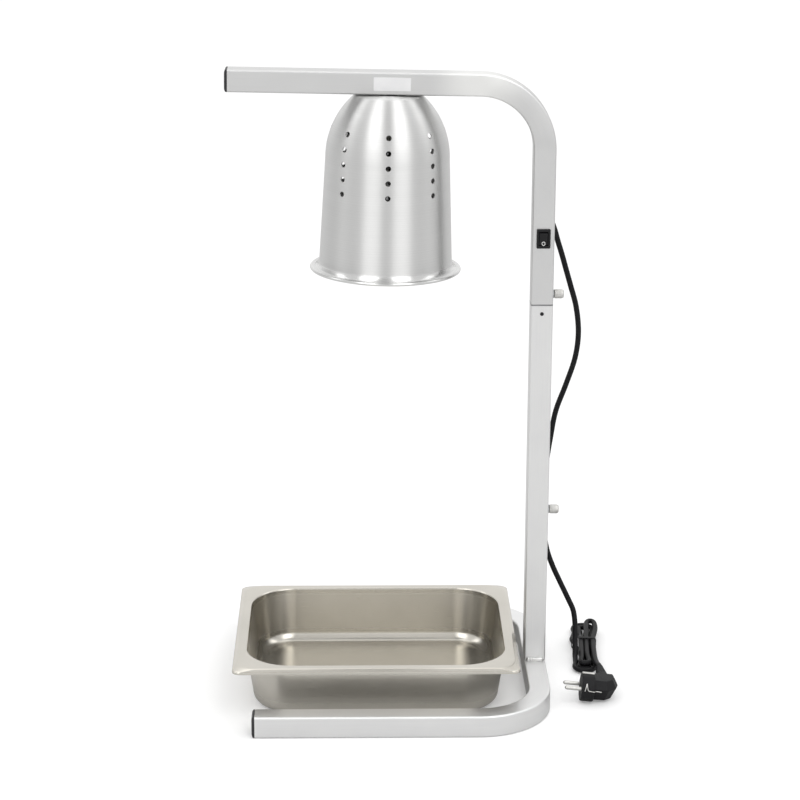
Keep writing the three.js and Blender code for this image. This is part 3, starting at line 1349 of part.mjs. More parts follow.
function standPieces() {
  const capStart = -(BASE_LENGTH - HALF_TUBE);
  const railY = BASE_DEPTH / 2 - HALF_TUBE;
  return [
    piece("base_frame", baseFrame(), aluminium),
    piece("base_cap_front", endCap().translate(capStart, -railY, HALF_TUBE), blackPlastic),
    piece("base_cap_rear", endCap().translate(capStart, railY, HALF_TUBE), blackPlastic),
    piece("lower_post", lowerPost(), aluminium),
    piece("guide_bush", guideBush(), blackPlastic),
    piece("bush_screw", bushScrew(), blackPlastic),
    piece("lower_clinch_nut", clinchNut(LOWER_SCREW_HEIGHT), steel),
    piece("lower_thumb_screw", thumbScrew(LOWER_SCREW_HEIGHT), nickel),
  ];
}

function upperPieces() {
  const capHeight = armAxisHeight(ARM_REACH);
  const armCap = endCap().rotateY(RISE).translate(-ARM_REACH, 0, capHeight);
  return [
    piece("arm_tube", armTube(), aluminium),
    piece("slide_tube", slideTube(), aluminium),
    piece("packing_sleeve", packingSleeve(), blackPlastic),
    piece("arm_end_cap", armCap, blackPlastic),
    piece("upper_clinch_nut", clinchNut(UPPER_SCREW_HEIGHT), steel),
    piece("upper_thumb_screw", thumbScrew(UPPER_SCREW_HEIGHT), nickel),
    piece("switch_housing", switchHousing(), blackPlastic),
    piece("switch_rocker", rocker(), blackPlastic),
    piece("switch_terminal_upper", switchTerminal(1), brass),
    piece("switch_terminal_lower", switchTerminal(-1), brass),
    piece("cord_outlet", cordOutlet(), blackPlastic),
    piece("earth_screw", earthScrew(), steel),
    piece("earth_lug", earthLug(), brass),
    piece("earth_nut", earthNut(), steel),
    ...leads(),
  ];
}

// What hangs from the arm, in the lamp's own frame
function lampPieces() {
  const bore = NIPPLE_DIAMETER + 2 * SEAT;
  const armNutFoot = TUBE_WALL + SEAT;
  const shadeNutTop = -SHADE_TOP - SHADE_WALL - SEAT;
  return [
    piece("shade_spacer", ring(SPACER_DIAMETER, bore, -SEAT - SPACER_THICKNESS, -SEAT, 24), blackPlastic),
    piece("shade", shade(), spunAluminium),
    piece("nipple", nipple(), brass),
    piece("arm_nut", hexNut(ARM_NUT_FLATS, bore, armNutFoot, armNutFoot + ARM_NUT_HEIGHT), brass),
    piece("shade_nut", hexNut(SHADE_NUT_FLATS, bore, shadeNutTop - SHADE_NUT_HEIGHT, shadeNutTop), brass),
    piece("holder_body", holderBody(), ceramic),
    piece("holder_shell", holderShell(), brass),
    piece("holder_contact", holderContact(), brass),
    piece("bulb_glass", bulbGlass(), glass),
    piece("bulb_cap", bulbCap(), nickel),
    piece("bulb_insulator", bulbInsulator(), blackPlastic),
    piece("bulb_tip", bulbTip(), nickel),
    piece("filament_mount", filamentMount(), glass),
  ];
}

const lamp = new THREE.Group();
lamp.applyMatrix4(LAMP_FRAME);
lamp.add(...lampPieces());

const plug = new THREE.Group();
plug.applyMatrix4(PLUG_FRAME);
plug.add(...plugPieces());

const heatLamp = new THREE.Group();
heatLamp.add(...standPieces(), ...upperPieces(), lamp, piece("pan", pan(), stainless), ...cordPieces(), plug);

export default heatLamp;
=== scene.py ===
from math import asin, cos, pi, radians, sin, sqrt, tan

import bmesh
import bpy
import numpy as np
from mathutils import Matrix, Vector


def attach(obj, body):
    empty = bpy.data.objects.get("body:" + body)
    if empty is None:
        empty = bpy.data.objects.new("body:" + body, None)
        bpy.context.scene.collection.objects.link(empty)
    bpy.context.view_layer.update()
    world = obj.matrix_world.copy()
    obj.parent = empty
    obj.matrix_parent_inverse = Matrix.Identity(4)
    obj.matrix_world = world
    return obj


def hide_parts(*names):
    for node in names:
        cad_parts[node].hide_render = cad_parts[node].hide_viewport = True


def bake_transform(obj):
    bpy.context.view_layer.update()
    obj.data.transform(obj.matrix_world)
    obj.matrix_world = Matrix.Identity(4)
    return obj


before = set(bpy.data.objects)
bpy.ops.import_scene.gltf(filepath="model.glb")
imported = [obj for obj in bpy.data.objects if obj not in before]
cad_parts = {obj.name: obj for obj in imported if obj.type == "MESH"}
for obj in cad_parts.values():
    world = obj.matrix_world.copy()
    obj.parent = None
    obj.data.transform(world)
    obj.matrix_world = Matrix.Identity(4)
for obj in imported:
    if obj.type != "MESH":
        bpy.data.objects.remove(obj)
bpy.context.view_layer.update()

# ---------------------------------------------------------------------------------------------------------
# The studio: a pale floor that runs to the horizon, a white room that gives soft shadows, and two softboxes in
# front. What the metal mirrors of the room is drawn in the room's own shader.

FLOOR_HALF = 40.0
FLOOR_DROP = 0.0003


def linear(code):
    """An sRGB hex value as linear red, green, blue and a full alpha."""
    channels = [int(code[i : i + 2], 16) / 255 for i in (1, 3, 5)]
    return (*(c / 12.92 if c <= 0.04045 else ((c + 0.055) / 1.055) ** 2.4 for c in channels), 1.0)


def add(tree, kind, links=None, stops=(), **settings):
    """A node of a tree with its settings, and for a ramp its stops: place and colour. Each input in links is
    joined to a socket, or to the first output of a node, or set to a value."""
    node = tree.nodes.new(kind)
    for name, value in settings.items():
        setattr(node, name, value)
    for number, (at, colour) in enumerate(stops):
        element = node.color_ramp.elements[number]
        element.position, element.color = at, linear(colour)
    for key, value in (links or {}).items():
        if isinstance(value, bpy.types.Node):
            value = value.outputs[0]
        if isinstance(value, bpy.types.NodeSocket):
            tree.links.new(value, node.inputs[key])
        else:
            node.inputs[key].default_value = value
    return node


def new_material(name):
    """A material and its node tree, still empty."""
    material = bpy.data.materials.new(name)
    material.use_nodes = True
    material.node_tree.nodes.clear()
    return material, material.node_tree


def place(name, data, matrix=None):
    """An object in the scene."""
    item = bpy.data.objects.new(name, data)
    bpy.context.collection.objects.link(item)
    if matrix is not None:
        item.matrix_world = matrix
    return item


def mesh_of(name, vertices, faces, material):
    """A mesh in one material."""
    mesh = bpy.data.meshes.new(name)
    mesh.from_pydata(vertices, [], faces)
    mesh.materials.append(material)
    return mesh


# The camera: its place, then how far it is turned about Z, tilted down and rolled
camera_data = bpy.data.cameras.new("camera")
camera_data.sensor_width = 36.0
camera_data.lens = 105.97
camera_data.clip_end = 100.0
camera = place(
    "camera",
    camera_data,
    Matrix.Translation((-0.2090, -2.5723, 1.1205))
    @ Matrix.Rotation(radians(-1.111), 4, "Z")
    @ Matrix.Rotation(radians(90 - 16.851), 4, "X")
    @ Matrix.Rotation(radians(0.2), 4, "Z"),
)
bpy.context.scene.camera = camera
bpy.context.scene.view_settings.view_transform = "Standard"

# Seamless paper: matt and almost white. What the camera sees of it is lifted to white and keeps its shadows,
# and what the metal mirrors of it is a little greyer.
paper, tree = new_material("seamless_paper")
rays = add(tree, "ShaderNodeLightPath").outputs
seen = add(tree, "ShaderNodeMath", {0: rays["Is Camera Ray"], 1: rays["Is Transmission Ray"]}, operation="MAXIMUM")
grain = add(tree, "ShaderNodeTexNoise", {"Scale": 40.0, "Detail": 3.0})
tone = add(tree, "ShaderNodeMapRange", {"Value": grain, "To Min": 0.83, "To Max": 0.85})
greyer = add(tree, "ShaderNodeMapRange", {"Value": rays["Is Glossy Ray"], "To Min": 1.0, "To Max": 0.80})
paper_tone = add(tree, "ShaderNodeMath", {0: tone, 1: greyer}, operation="MULTIPLY")
matt = add(tree, "ShaderNodeBsdfDiffuse", {"Color": paper_tone})
lift = add(tree, "ShaderNodeMath", {0: seen, 1: 0.2}, operation="MULTIPLY")
glow = add(tree, "ShaderNodeEmission", {"Color": linear("#ffffff"), "Strength": lift})
both = add(tree, "ShaderNodeAddShader", {0: matt, 1: glow})
add(tree, "ShaderNodeOutputMaterial", {"Surface": both})

floor_corners = [(x * FLOOR_HALF, y * FLOOR_HALF, 0) for x, y in ((-1, -1), (1, -1), (1, 1), (-1, 1))]
floor = place("floor", mesh_of("floor", floor_corners, [(0, 1, 2, 3)], paper), Matrix.Translation((0, 0, -FLOOR_DROP)))

# The room: white to the eye and to matt surfaces. What metal mirrors of it is white behind the object and
# greyer in front, with two long panels from the front to overhead that draw the bright bands down the shade,
# a strip at each side that streaks its dome, and a pale ceiling that lights the edges. In this shader x, y and z
# are the direction that is looked in: to the right, to the back and up.
world = bpy.data.worlds.new("white_room")
bpy.context.scene.world = world
world.use_nodes = True
room = world.node_tree
room.nodes.clear()


def mirrored_light(*passages):
    """One light that metal mirrors, the product of smooth passages. In each of them the factor goes from low to
    high while a direction goes from start to stop."""
    light = None
    for towards, start, stop, low, high in passages:
        ends = {"From Min": start, "From Max": stop, "To Min": low, "To Max": high}
        factor = add(room, "ShaderNodeMapRange", {"Value": towards, **ends}, interpolation_type="SMOOTHSTEP")
        light = add(room, "ShaderNodeMath", {0: light, 1: factor}, operation="MULTIPLY") if light else factor
    return light


rays = add(room, "ShaderNodeLightPath").outputs
direction = add(room, "ShaderNodeTexCoord").outputs["Generated"]
axes = add(room, "ShaderNodeSeparateXYZ", {0: direction}).outputs
x, y, z = (axes[k] for k in "XYZ")
aside = add(room, "ShaderNodeMath", {0: x}, operation="ABSOLUTE")
folded = add(room, "ShaderNodeCombineXYZ", {"X": aside, "Y": y, "Z": z})
panel_edge, strip_line = (
    add(room, "ShaderNodeVectorMath", {0: folded, 1: slant}, operation="DOT_PRODUCT").outputs["Value"]
    for slant in ((1.0, 0.62, -0.2), (0.73, 1.0, 0.0))
)
corner = ((aside, 0.5, 0.65, 0.0, 1.0), (y, 0.2, 0.42, 0.0, 1.0), (y, 0.95, 0.7, 0.0, 1.0))
backdrop = mirrored_light((y, 0.2, 0.85, 0.80, 0.95))
gap = mirrored_light((aside, 0.14, 0.06, 0.0, 1.0), (y, 0.1, 0.0, 0.0, 1.0), (z, 0.25, 0.7, 0.0, -0.22))
low_corners = mirrored_light(*corner, (x, -0.3, 0.3, 0.02, -0.12), (z, 0.35, 0.1, 0.0, 1.0))
high_corners = mirrored_light(*corner, (z, 0.1, 0.35, 0.0, -0.3))
panels = mirrored_light(
    (aside, 0.13, 0.24, 0.0, 1.0), (panel_edge, 0.24, 0.06, 0.0, 1.0), (y, 0.15, 0.0, 0.0, 1.0),
    (z, -0.05, 0.1, 0.0, 1.0), (z, 0.1, 0.5, 1.05, 1.4),
)
strips = mirrored_light(
    (strip_line, 0.46, 0.56, 0.0, 1.0), (strip_line, 0.82, 0.72, 0.0, 1.0), (aside, 0.45, 0.55, 0.0, 1.0),
    (z, 0.2, 0.7, 0.0, 1.15),
)
ceiling = mirrored_light((z, 0.55, 0.85, 0.0, 0.65), (y, 0.02, 0.22, 0.0, 1.0), (aside, 0.5, 0.35, 0.0, 1.0))
mirrored = backdrop
for light in (gap, low_corners, high_corners, panels, strips, ceiling):
    mirrored = add(room, "ShaderNodeMath", {0: mirrored, 1: light}, operation="ADD")

# Metal that mirrors metal, as in the pan, looks out of it low over its edges: the room is darker at the sides
inside = mirrored_light((rays["Glossy Depth"], 1.2, 1.8, 0.0, 1.0))
by_side = mirrored_light((aside, 0.2, 0.6, 1.08, 0.15))
dimmed = add(room, "ShaderNodeMix", {0: inside, 2: 1.0, 3: by_side}, data_type="FLOAT")
mirrored = add(room, "ShaderNodeMath", {0: mirrored, 1: dimmed}, operation="MULTIPLY")
clear = add(room, "ShaderNodeMath", {0: rays["Is Camera Ray"], 1: rays["Is Transmission Ray"]}, operation="MAXIMUM")
level = add(room, "ShaderNodeMix", {0: rays["Is Glossy Ray"], 2: 1.0, 3: mirrored}, data_type="FLOAT")
level = add(room, "ShaderNodeMix", {0: clear, 2: level, 3: 1.0}, data_type="FLOAT")
light = add(room, "ShaderNodeBackground", {"Color": linear("#ffffff"), "Strength": level})
add(room, "ShaderNodeOutputWorld", {"Surface": light})

# Two softboxes in front give the light on matt surfaces a direction: metal mirrors the panels instead. For each
# its azimuth from the camera's side, elevation and power.
SOFTBOX_AIM = Vector((-0.17, 0.0, 0.45))
SOFTBOX_DISTANCE, SOFTBOX_WIDE, SOFTBOX_HIGH = 2.3, 0.55, 1.50
for name, azimuth, elevation, power in (("softbox_left", -22, 40, 5.0), ("softbox_right", 24, 48, 9.0)):
    lamp_data = bpy.data.lights.new(name, "AREA")
    lamp_data.shape = "RECTANGLE"
    lamp_data.size, lamp_data.size_y = SOFTBOX_WIDE, SOFTBOX_HIGH
    lamp_data.energy = power
    a, e = radians(azimuth), radians(elevation)
    back = Vector((sin(a) * cos(e), -cos(a) * cos(e), sin(e)))
    turn = back.to_track_quat("Z", "Y").to_matrix().to_4x4()
    lamp = place(name, lamp_data, Matrix.Translation(SOFTBOX_AIM + back * SOFTBOX_DISTANCE) @ turn)
    lamp.visible_glossy = False

# ---------------------------------------------------------------------------------------------------------
# The cord: 1.5 m of black 6.4 mm mains cord. It leaves the back of the upper tube, hangs behind the post,
# lies on the floor folded into a hank of three loops, and ends in the neck of the plug.

CORD = 0.0064
CORD_STEP = 0.0022
CORD_SIDES = 18
DROP_ROUTE = [
    (0.0, 0.0208, 0.57), (0.0, 0.0272, 0.57), (0.0008, 0.0345, 0.5675), (0.0044, 0.04, 0.559),
    (0.01, 0.0428, 0.547), (0.0164, 0.044, 0.532), (0.0211, 0.0454, 0.5165), (0.0264, 0.047, 0.5),
    (0.0317, 0.0485, 0.482), (0.0372, 0.0502, 0.4635), (0.0445, 0.0523, 0.4375), (0.0482, 0.055, 0.405),
    (0.0453, 0.0572, 0.375), (0.0356, 0.0593, 0.342), (0.0246, 0.061, 0.309), (0.0193, 0.062, 0.2765),
    (0.0145, 0.0625, 0.24), (0.0125, 0.063, 0.205), (0.013, 0.063, 0.17), (0.0175, 0.063, 0.138),
    (0.0248, 0.0633, 0.116), (0.0338, 0.0634, 0.096), (0.0456, 0.0628, 0.071), (0.0511, 0.0617, 0.0587),
    (0.0534, 0.0595, 0.045), (0.0538, 0.056, 0.031), (0.0538, 0.051, 0.0175), (0.0531, 0.0425, 0.008),
]
TAIL_ROUTE = [
    (0.0724, 0.104, 0.0116), (0.0736, 0.12, 0.0117), (0.0748, 0.131, 0.0118), (0.0772, 0.138, 0.0118),
    (0.0804, 0.1403, 0.0118), (0.0835, 0.1375, 0.0118), (0.0848, 0.129, 0.0117), (0.0842, 0.116, 0.0116),
    (0.0822, 0.104, 0.0116), (0.0803, 0.095, 0.0116), (0.0788, 0.088, 0.0116), (0.078, 0.083, 0.0116),
    (0.0778, 0.0796, 0.0116), (0.0775, 0.075, 0.0116), (0.077, 0.067, 0.0116), (0.0761, 0.05, 0.0116),
    (0.0754, 0.035, 0.0116), (0.0752, 0.018, 0.0117), (0.0759, 0.004, 0.0129),
]
HANK_MIDDLE = Vector((0.0665, 0.0738, 0.0))
HANK_TURN = radians(-4)
HANK_HALF_RUN = 0.0585
HANK_INNER_TURN = 0.005
HANK_PITCH = CORD + 0.0003
HANK_LOW = CORD / 2 + 0.0012
HANK_BULGE, BULGE_FROM, BULGE_PEAK, BULGE_TO = 0.004, 0.2, 0.45, 0.75
HANK_WAIST = 0.7
# Where the route has its points along the left and the right run, as shares of half the run from the middle
HANK_LEFT_SHARES = [1, 0.8, 0.6, 0.4, 0.2, 0.05, -0.2, -0.45, -0.83, -1]
HANK_RIGHT_SHARES = [-1, -0.85, -0.7, 0.15, 0.7, 0.85, 1]
HANK_LANDING, HANK_LEAVING = -0.83, 0.15


def smooth(share):
    """An even passage from 0 to 1 that starts and stops softly."""
    share = min(max(share, 0.0), 1.0)
    return share * share * (3 - 2 * share)


def hank_half_width(outer, share):
    """Half the width of the hank for its inner (0) or outer (1) loop: drawn in at the waist."""
    waist = HANK_PITCH / 2 + outer * HANK_PITCH
    end = HANK_INNER_TURN + outer * HANK_PITCH
    return waist + (end - waist) * smooth((abs(share) - HANK_WAIST) / (1 - HANK_WAIST))


def hank_point(across, along, up):
    """A point of the hank, whose run is turned a little on the floor. Up counts layers of cord."""
    point = Matrix.Rotation(HANK_TURN, 4, "Z") @ Vector((across, along, HANK_LOW + up * HANK_PITCH))
    return point + HANK_MIDDLE


def hank_route():
    """The three loops: two side by side on the floor and one on top, each begun on the left run."""
    # outer or inner loop, layer, and the shares of the left run between which the cord moves over to it
    loops = [(1, 0, 1, HANK_LANDING), (0, 0, 0.05, -0.45), (0, 1, 0.6, 0.2)]
    route = []
    for index, (outer, layer, start, stop) in enumerate(loops):
        outer_before, layer_before = loops[max(index - 1, 0)][:2]
        for share in [s for s in HANK_LEFT_SHARES if index or s <= HANK_LANDING]:
            moved = smooth((start - share) / (start - stop))
            side = hank_half_width(outer_before + (outer - outer_before) * moved, share)
            rise = (share - BULGE_FROM) / (BULGE_PEAK - BULGE_FROM)
            fall = (BULGE_TO - share) / (BULGE_TO - BULGE_PEAK)
            side += outer_before * HANK_BULGE * smooth(rise if share < BULGE_PEAK else fall)
            up = layer_before + (layer - layer_before) * moved
            route.append(hank_point(-side, share * HANK_HALF_RUN, up))
        radius = HANK_INNER_TURN + outer * HANK_PITCH
        last = index == len(loops) - 1
        for end in (-1, 1):
            for i in range(1, 6):
                angle = i / 6 * pi
                route.append(hank_point(end * radius * cos(angle), end * (HANK_HALF_RUN + radius * sin(angle)), layer))
            if end > 0:
                break
            for share in [s for s in HANK_RIGHT_SHARES if not last or s <= HANK_LEAVING]:
                route.append(hank_point(hank_half_width(outer, share), share * HANK_HALF_RUN, layer))
            if last:
                break
    return route


def between(at, start, stop, first, second):
    """The point on the way from the first to the second that belongs to a place between start and stop."""
    return (stop - at) / (stop - start) * first + (at - start) / (stop - start) * second


def smooth_route(points, step):
    """Points at an even step along a centripetal spline through the given ones."""
    points = np.array([tuple(p) for p in points], float)
    points = np.vstack([2 * points[0] - points[1], points, 2 * points[-1] - points[-2]])
    fine = []
    for i in range(1, len(points) - 2):
        p = points[i - 1 : i + 3]
        knots = np.concatenate([[0], np.cumsum(np.sqrt(np.linalg.norm(np.diff(p, axis=0), axis=1)))])
        for t in np.linspace(knots[1], knots[2], 16, endpoint=False):
            a = [between(t, knots[k], knots[k + 1], p[k], p[k + 1]) for k in range(3)]
            b = [between(t, knots[k], knots[k + 2], a[k], a[k + 1]) for k in range(2)]
            fine.append(between(t, knots[1], knots[2], b[0], b[1]))
    fine = np.array([*fine, points[-2]])
    length = np.concatenate([[0], np.cumsum(np.linalg.norm(np.diff(fine, axis=0), axis=1))])
    at = np.linspace(0, length[-1], max(2, round(length[-1] / step)))
    return np.stack([np.interp(at, length, fine[:, k]) for k in range(3)], axis=1), length[-1]


def tube_along(points, radius, sides):
    """Vertices and faces of a round tube with flat ends that turns as little as it can on its way."""
    tangents = np.gradient(points, axis=0)
    tangents /= np.linalg.norm(tangents, axis=1)[:, None]
    across = np.cross(tangents[0], (0, 0, 1.0) if abs(tangents[0][2]) < 0.9 else (1.0, 0, 0))
    angles = [2 * pi * k / sides for k in range(sides)]
    vertices, faces = [], []
    for i, (point, tangent) in enumerate(zip(points, tangents)):
        across = across - tangent * np.dot(across, tangent)
        across /= np.linalg.norm(across)
        up = np.cross(tangent, across)
        vertices += [tuple(point + radius * (across * cos(a) + up * sin(a))) for a in angles]
        if i:
            low, high = (i - 1) * sides, i * sides
            faces += [(low + k, low + (k + 1) % sides, high + (k + 1) % sides, high + k) for k in range(sides)]
    faces += [tuple(reversed(range(sides))), tuple(range(len(vertices) - sides, len(vertices)))]
    return vertices, faces


# The plug's own frame: its origin is in the middle of the face, X runs to the back and Y to the end of its neck.
# It leans on the edge of its disc.
PLUG_LEAN = radians(6)
PLUG_RADIUS = 0.0165
PLUG_DISC = 0.015
NECK_X, PLUG_END = 0.028, 0.06
plug_height = (PLUG_DISC - 0.0015) * sin(PLUG_LEAN) + PLUG_RADIUS * cos(PLUG_LEAN)
plug_frame = Matrix.Translation((0.049, -0.0727, plug_height)) @ Matrix.Rotation(PLUG_LEAN, 4, "Y")
neck_end = plug_frame @ Vector((NECK_X, PLUG_END, 0.0))

route = [*DROP_ROUTE, *hank_route(), *TAIL_ROUTE]
route += [neck_end + Vector((0, 0.0067, 0)), neck_end + Vector((0, 0.0003, 0))]
cord_path, cord_length = smooth_route(route, CORD_STEP)


def surface(
    name, tone_low, tone_high, metallic, rough_low, rough_high, mottle, relief=0.0, tones_at=(0.3, 0.7), **inputs
):
    """A finish whose tone and gloss vary a little from place to place, with mottles of about 1/mottle metres."""
    material, tree = new_material(name)
    object_place = add(tree, "ShaderNodeTexCoord").outputs["Object"]
    cloud = add(tree, "ShaderNodeTexNoise", {"Vector": object_place, "Scale": mottle, "Detail": 4.0})
    tone = add(tree, "ShaderNodeValToRGB", {"Fac": cloud}, zip(tones_at, (tone_low, tone_high)))
    rough = add(tree, "ShaderNodeMapRange", {"Value": cloud, "To Min": rough_low, "To Max": rough_high})
    uneven = add(tree, "ShaderNodeBump", {"Height": cloud, "Strength": relief, "Distance": 0.0002})
    inputs = {"Base Color": tone, "Metallic": metallic, "Roughness": rough, "Normal": uneven, **inputs}
    add(tree, "ShaderNodeOutputMaterial", {"Surface": add(tree, "ShaderNodeBsdfPrincipled", inputs)})
    return material


# PVC sheath, extruded: black with a soft gloss. It picks up a little dust and has faint flow lines along it.
gloss = {"Specular IOR Level": 0.2}
sheath = surface("black_pvc_sheath", "#0c0c0e", "#151517", 0.0, 0.38, 0.55, 260.0, 0.12, (0.35, 0.75), **gloss)
cord_mesh = mesh_of("cord", *tube_along(cord_path, CORD / 2, CORD_SIDES), sheath)
cord_mesh.shade_smooth()
cord = place("cord", cord_mesh)
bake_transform(cord)
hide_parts("cord_drop", "cord_hank", "cord_tail")

# ---------------------------------------------------------------------------------------------------------
# The base: 25 mm square aluminium tube of 1.5 mm wall, bent to a U that lies on the floor and opens to the
# left. It is drawn tube, bent cold on a mandrel, satin finished along its length and anodised.

TUBE = 0.025
WALL = 0.0015
BEND = 0.0725
CAP_FLANGE = 0.0032
FIT = 0.0003  # the play that the CAD leaves between pieces
BASE_END = -0.3265
RAIL_Y = 0.1595


def inputs_of(tree, **kinds):
    """Named inputs of a geometry tree and its geometry output."""
    tree.interface.new_socket("Geometry", in_out="OUTPUT", socket_type="NodeSocketGeometry")
    for name, kind in kinds.items():
        tree.interface.new_socket(name.replace("_", " "), in_out="INPUT", socket_type="NodeSocket" + kind)
    return add(tree, "NodeGroupInput").outputs


def output_of(tree, shape, finish):
    """The end of a geometry tree: real faces in one finish."""
    whole = add(tree, "GeometryNodeRealizeInstances", {"Geometry": shape})
    coated = add(tree, "GeometryNodeSetMaterial", {"Geometry": whole, "Material": finish})
    add(tree, "NodeGroupOutput", {0: coated})


def grown(name, tree, mesh=None, **values):
    """A plain mesh object made by a geometry tree whose named inputs are set to these values."""
    item = place(name, mesh or bpy.data.meshes.new(name))
    modifier = item.modifiers.new("grow", "NODES")
    modifier.node_group = tree
    for socket in tree.interface.items_tree:
        key = socket.name.replace(" ", "_")
        if socket.in_out == "INPUT" and key in values:
            modifier[socket.identifier] = values[key]
    finished(item).data.name = name
    return item


def finished(item):
    """The object with its modifiers applied to its mesh."""
    shape = bpy.data.meshes.new_from_object(item.evaluated_get(bpy.context.evaluated_depsgraph_get()))
    item.modifiers.clear()
    item.data = shape
    return item


def crisp(item, angle=35):
    """Flat faces stay flat and rounded edges stay round: smooth shading that follows the large faces."""
    item.data.shade_smooth()
    item.data.set_sharp_from_angle(angle=radians(angle))
    weighted = item.modifiers.new("weighted", "WEIGHTED_NORMAL")
    weighted.keep_sharp = True
    weighted.weight = 100
    return finished(item)


square_tube = bpy.data.node_groups.new("square_tube_on_a_path", "GeometryNodeTree")
given = inputs_of(
    square_tube, Path="Geometry", Side="Float", Corner="Float", Bend_radius="Float", Bend_steps="Int",
    Corner_steps="Int", Finish="Material",
)
path = add(square_tube, "GeometryNodeMeshToCurve", {"Mesh": given["Path"]})
bent = add(
    square_tube, "GeometryNodeFilletCurve",
    {"Curve": path, "Radius": given["Bend radius"], "Count": given["Bend steps"]}, mode="POLY",
)
run = add(square_tube, "GeometryNodeSplineParameter")
with_run = add(
    square_tube, "GeometryNodeStoreNamedAttribute",
    {"Geometry": bent, "Name": "along", "Value": run.outputs["Length"]}, data_type="FLOAT", domain="POINT",
)
square = add(square_tube, "GeometryNodeCurvePrimitiveQuadrilateral", {"Width": given["Side"], "Height": given["Side"]})
rounded = add(
    square_tube, "GeometryNodeFilletCurve",
    {"Curve": square, "Radius": given["Corner"], "Count": given["Corner steps"]}, mode="POLY",
)
divided = add(square_tube, "GeometryNodeSubdivideCurve", {"Curve": rounded, "Cuts": 3})
girth = add(square_tube, "GeometryNodeSplineParameter")
with_girth = add(
    square_tube, "GeometryNodeStoreNamedAttribute",
    {"Geometry": divided, "Name": "around", "Value": girth.outputs["Length"]}, data_type="FLOAT", domain="POINT",
)
swept = add(square_tube, "GeometryNodeCurveToMesh", {"Curve": with_run, "Profile Curve": with_girth})
output_of(square_tube, swept, given["Finish"])


def satin_aluminium(name, tone_low, tone_high, painted_highlight=None):
    """Satin anodised aluminium: pale grey, with fine brush lines along the tube drawn 0.7 mm wide to show.
    It can carry a painted highlight: a paler spot that stands in for light on a bend, given by its middle and
    its colour. It fades out from 12 mm to 62 mm from there."""
    material, tree = new_material(name)
    along = add(tree, "ShaderNodeAttribute", attribute_name="along")
    around = add(tree, "ShaderNodeAttribute", attribute_name="around")
    where = add(tree, "ShaderNodeCombineXYZ", {"X": along.outputs["Fac"], "Y": around.outputs["Fac"]})
    stretched = add(tree, "ShaderNodeMapping", {"Vector": where, "Scale": (14.0, 1400.0, 1.0)})
    brush = add(tree, "ShaderNodeTexNoise", {"Vector": stretched, "Scale": 1.0, "Detail": 3.0, "Roughness": 0.6})
    object_place = add(tree, "ShaderNodeTexCoord").outputs["Object"]
    cloud = add(tree, "ShaderNodeTexNoise", {"Vector": object_place, "Scale": 22.0, "Detail": 2.0})
    both = add(tree, "ShaderNodeMath", {0: brush, 1: cloud}, operation="ADD")
    mean = add(tree, "ShaderNodeMath", {0: both, 1: 0.5}, operation="MULTIPLY")
    tone = add(tree, "ShaderNodeValToRGB", {"Fac": mean}, ((0.3, tone_low), (0.7, tone_high))).outputs["Color"]
    # The painted highlight: the tone turns to its colour near its middle
    if painted_highlight:
        middle, colour = painted_highlight
        near = add(tree, "ShaderNodeVectorMath", {0: object_place, 1: middle}, operation="DISTANCE").outputs["Value"]
        share = add(
            tree, "ShaderNodeMapRange",
            {"Value": near, "From Min": 0.012, "From Max": 0.062, "To Min": 1.0, "To Max": 0.0},
            interpolation_type="SMOOTHSTEP",
        )
        tone = add(tree, "ShaderNodeMix", {0: share, 6: tone, 7: linear(colour)}, data_type="RGBA").outputs[2]
    rough = add(tree, "ShaderNodeMapRange", {"Value": brush, "To Min": 0.36, "To Max": 0.5})
    relief = add(tree, "ShaderNodeBump", {"Height": brush, "Strength": 0.1, "Distance": 0.0001})
    satin = add(
        tree, "ShaderNodeBsdfPrincipled", {"Base Color": tone, "Metallic": 1.0, "Roughness": rough, "Normal": relief},
    )
    add(tree, "ShaderNodeOutputMaterial", {"Surface": satin})
    return material


def bent_tube(name, points, finish, side=TUBE, corner=0.002, bend=BEND, bend_steps=40, corner_steps=5):
    """A hollow square tube along straight legs with a bend at each corner."""
    legs = bpy.data.meshes.new(name)
    legs.from_pydata(points, [(i, i + 1) for i in range(len(points) - 1)], [])
    item = grown(
        name, square_tube, legs, Side=side, Corner=corner, Bend_radius=bend, Bend_steps=bend_steps,
        Corner_steps=corner_steps, Finish=finish,
    )
    hollow = item.modifiers.new("wall", "SOLIDIFY")
    hollow.thickness, hollow.offset = WALL, -1.0
    return finished(item)


def bulge(item, centre, out, side, middle, amount):
    """The wall on one side of a bend stands out a little along its middle, as the mandrel leaves it: out is the
    axis that the bend turns about, side the wall's side of it and middle the heading halfway round."""
    points = np.array([vertex.co for vertex in item.data.vertices]) - np.array(centre)
    flat = np.delete(points, out, axis=1)
    distance = np.linalg.norm(flat, axis=1)
    heading = np.degrees(np.arccos(np.clip(flat @ np.array(middle) / distance, -1, 1)))
    # All of it over the middle of the bend and of the wall, nothing at the bend's ends, 45 degrees away, or at
    # the tube's corners
    window = np.clip((45 - heading) / 14, 0, 1)
    window = window * window * (3 - 2 * window)
    across = np.clip((distance - BEND) / (TUBE / 2 - 0.001), -1, 1)
    is_wall = points[:, out] * side > TUBE / 2 - WALL - 0.0001
    points[:, out] += side * is_wall * amount * (1 - across**2) * window
    for vertex, point in zip(item.data.vertices, points + np.array(centre)):
        vertex.co = point
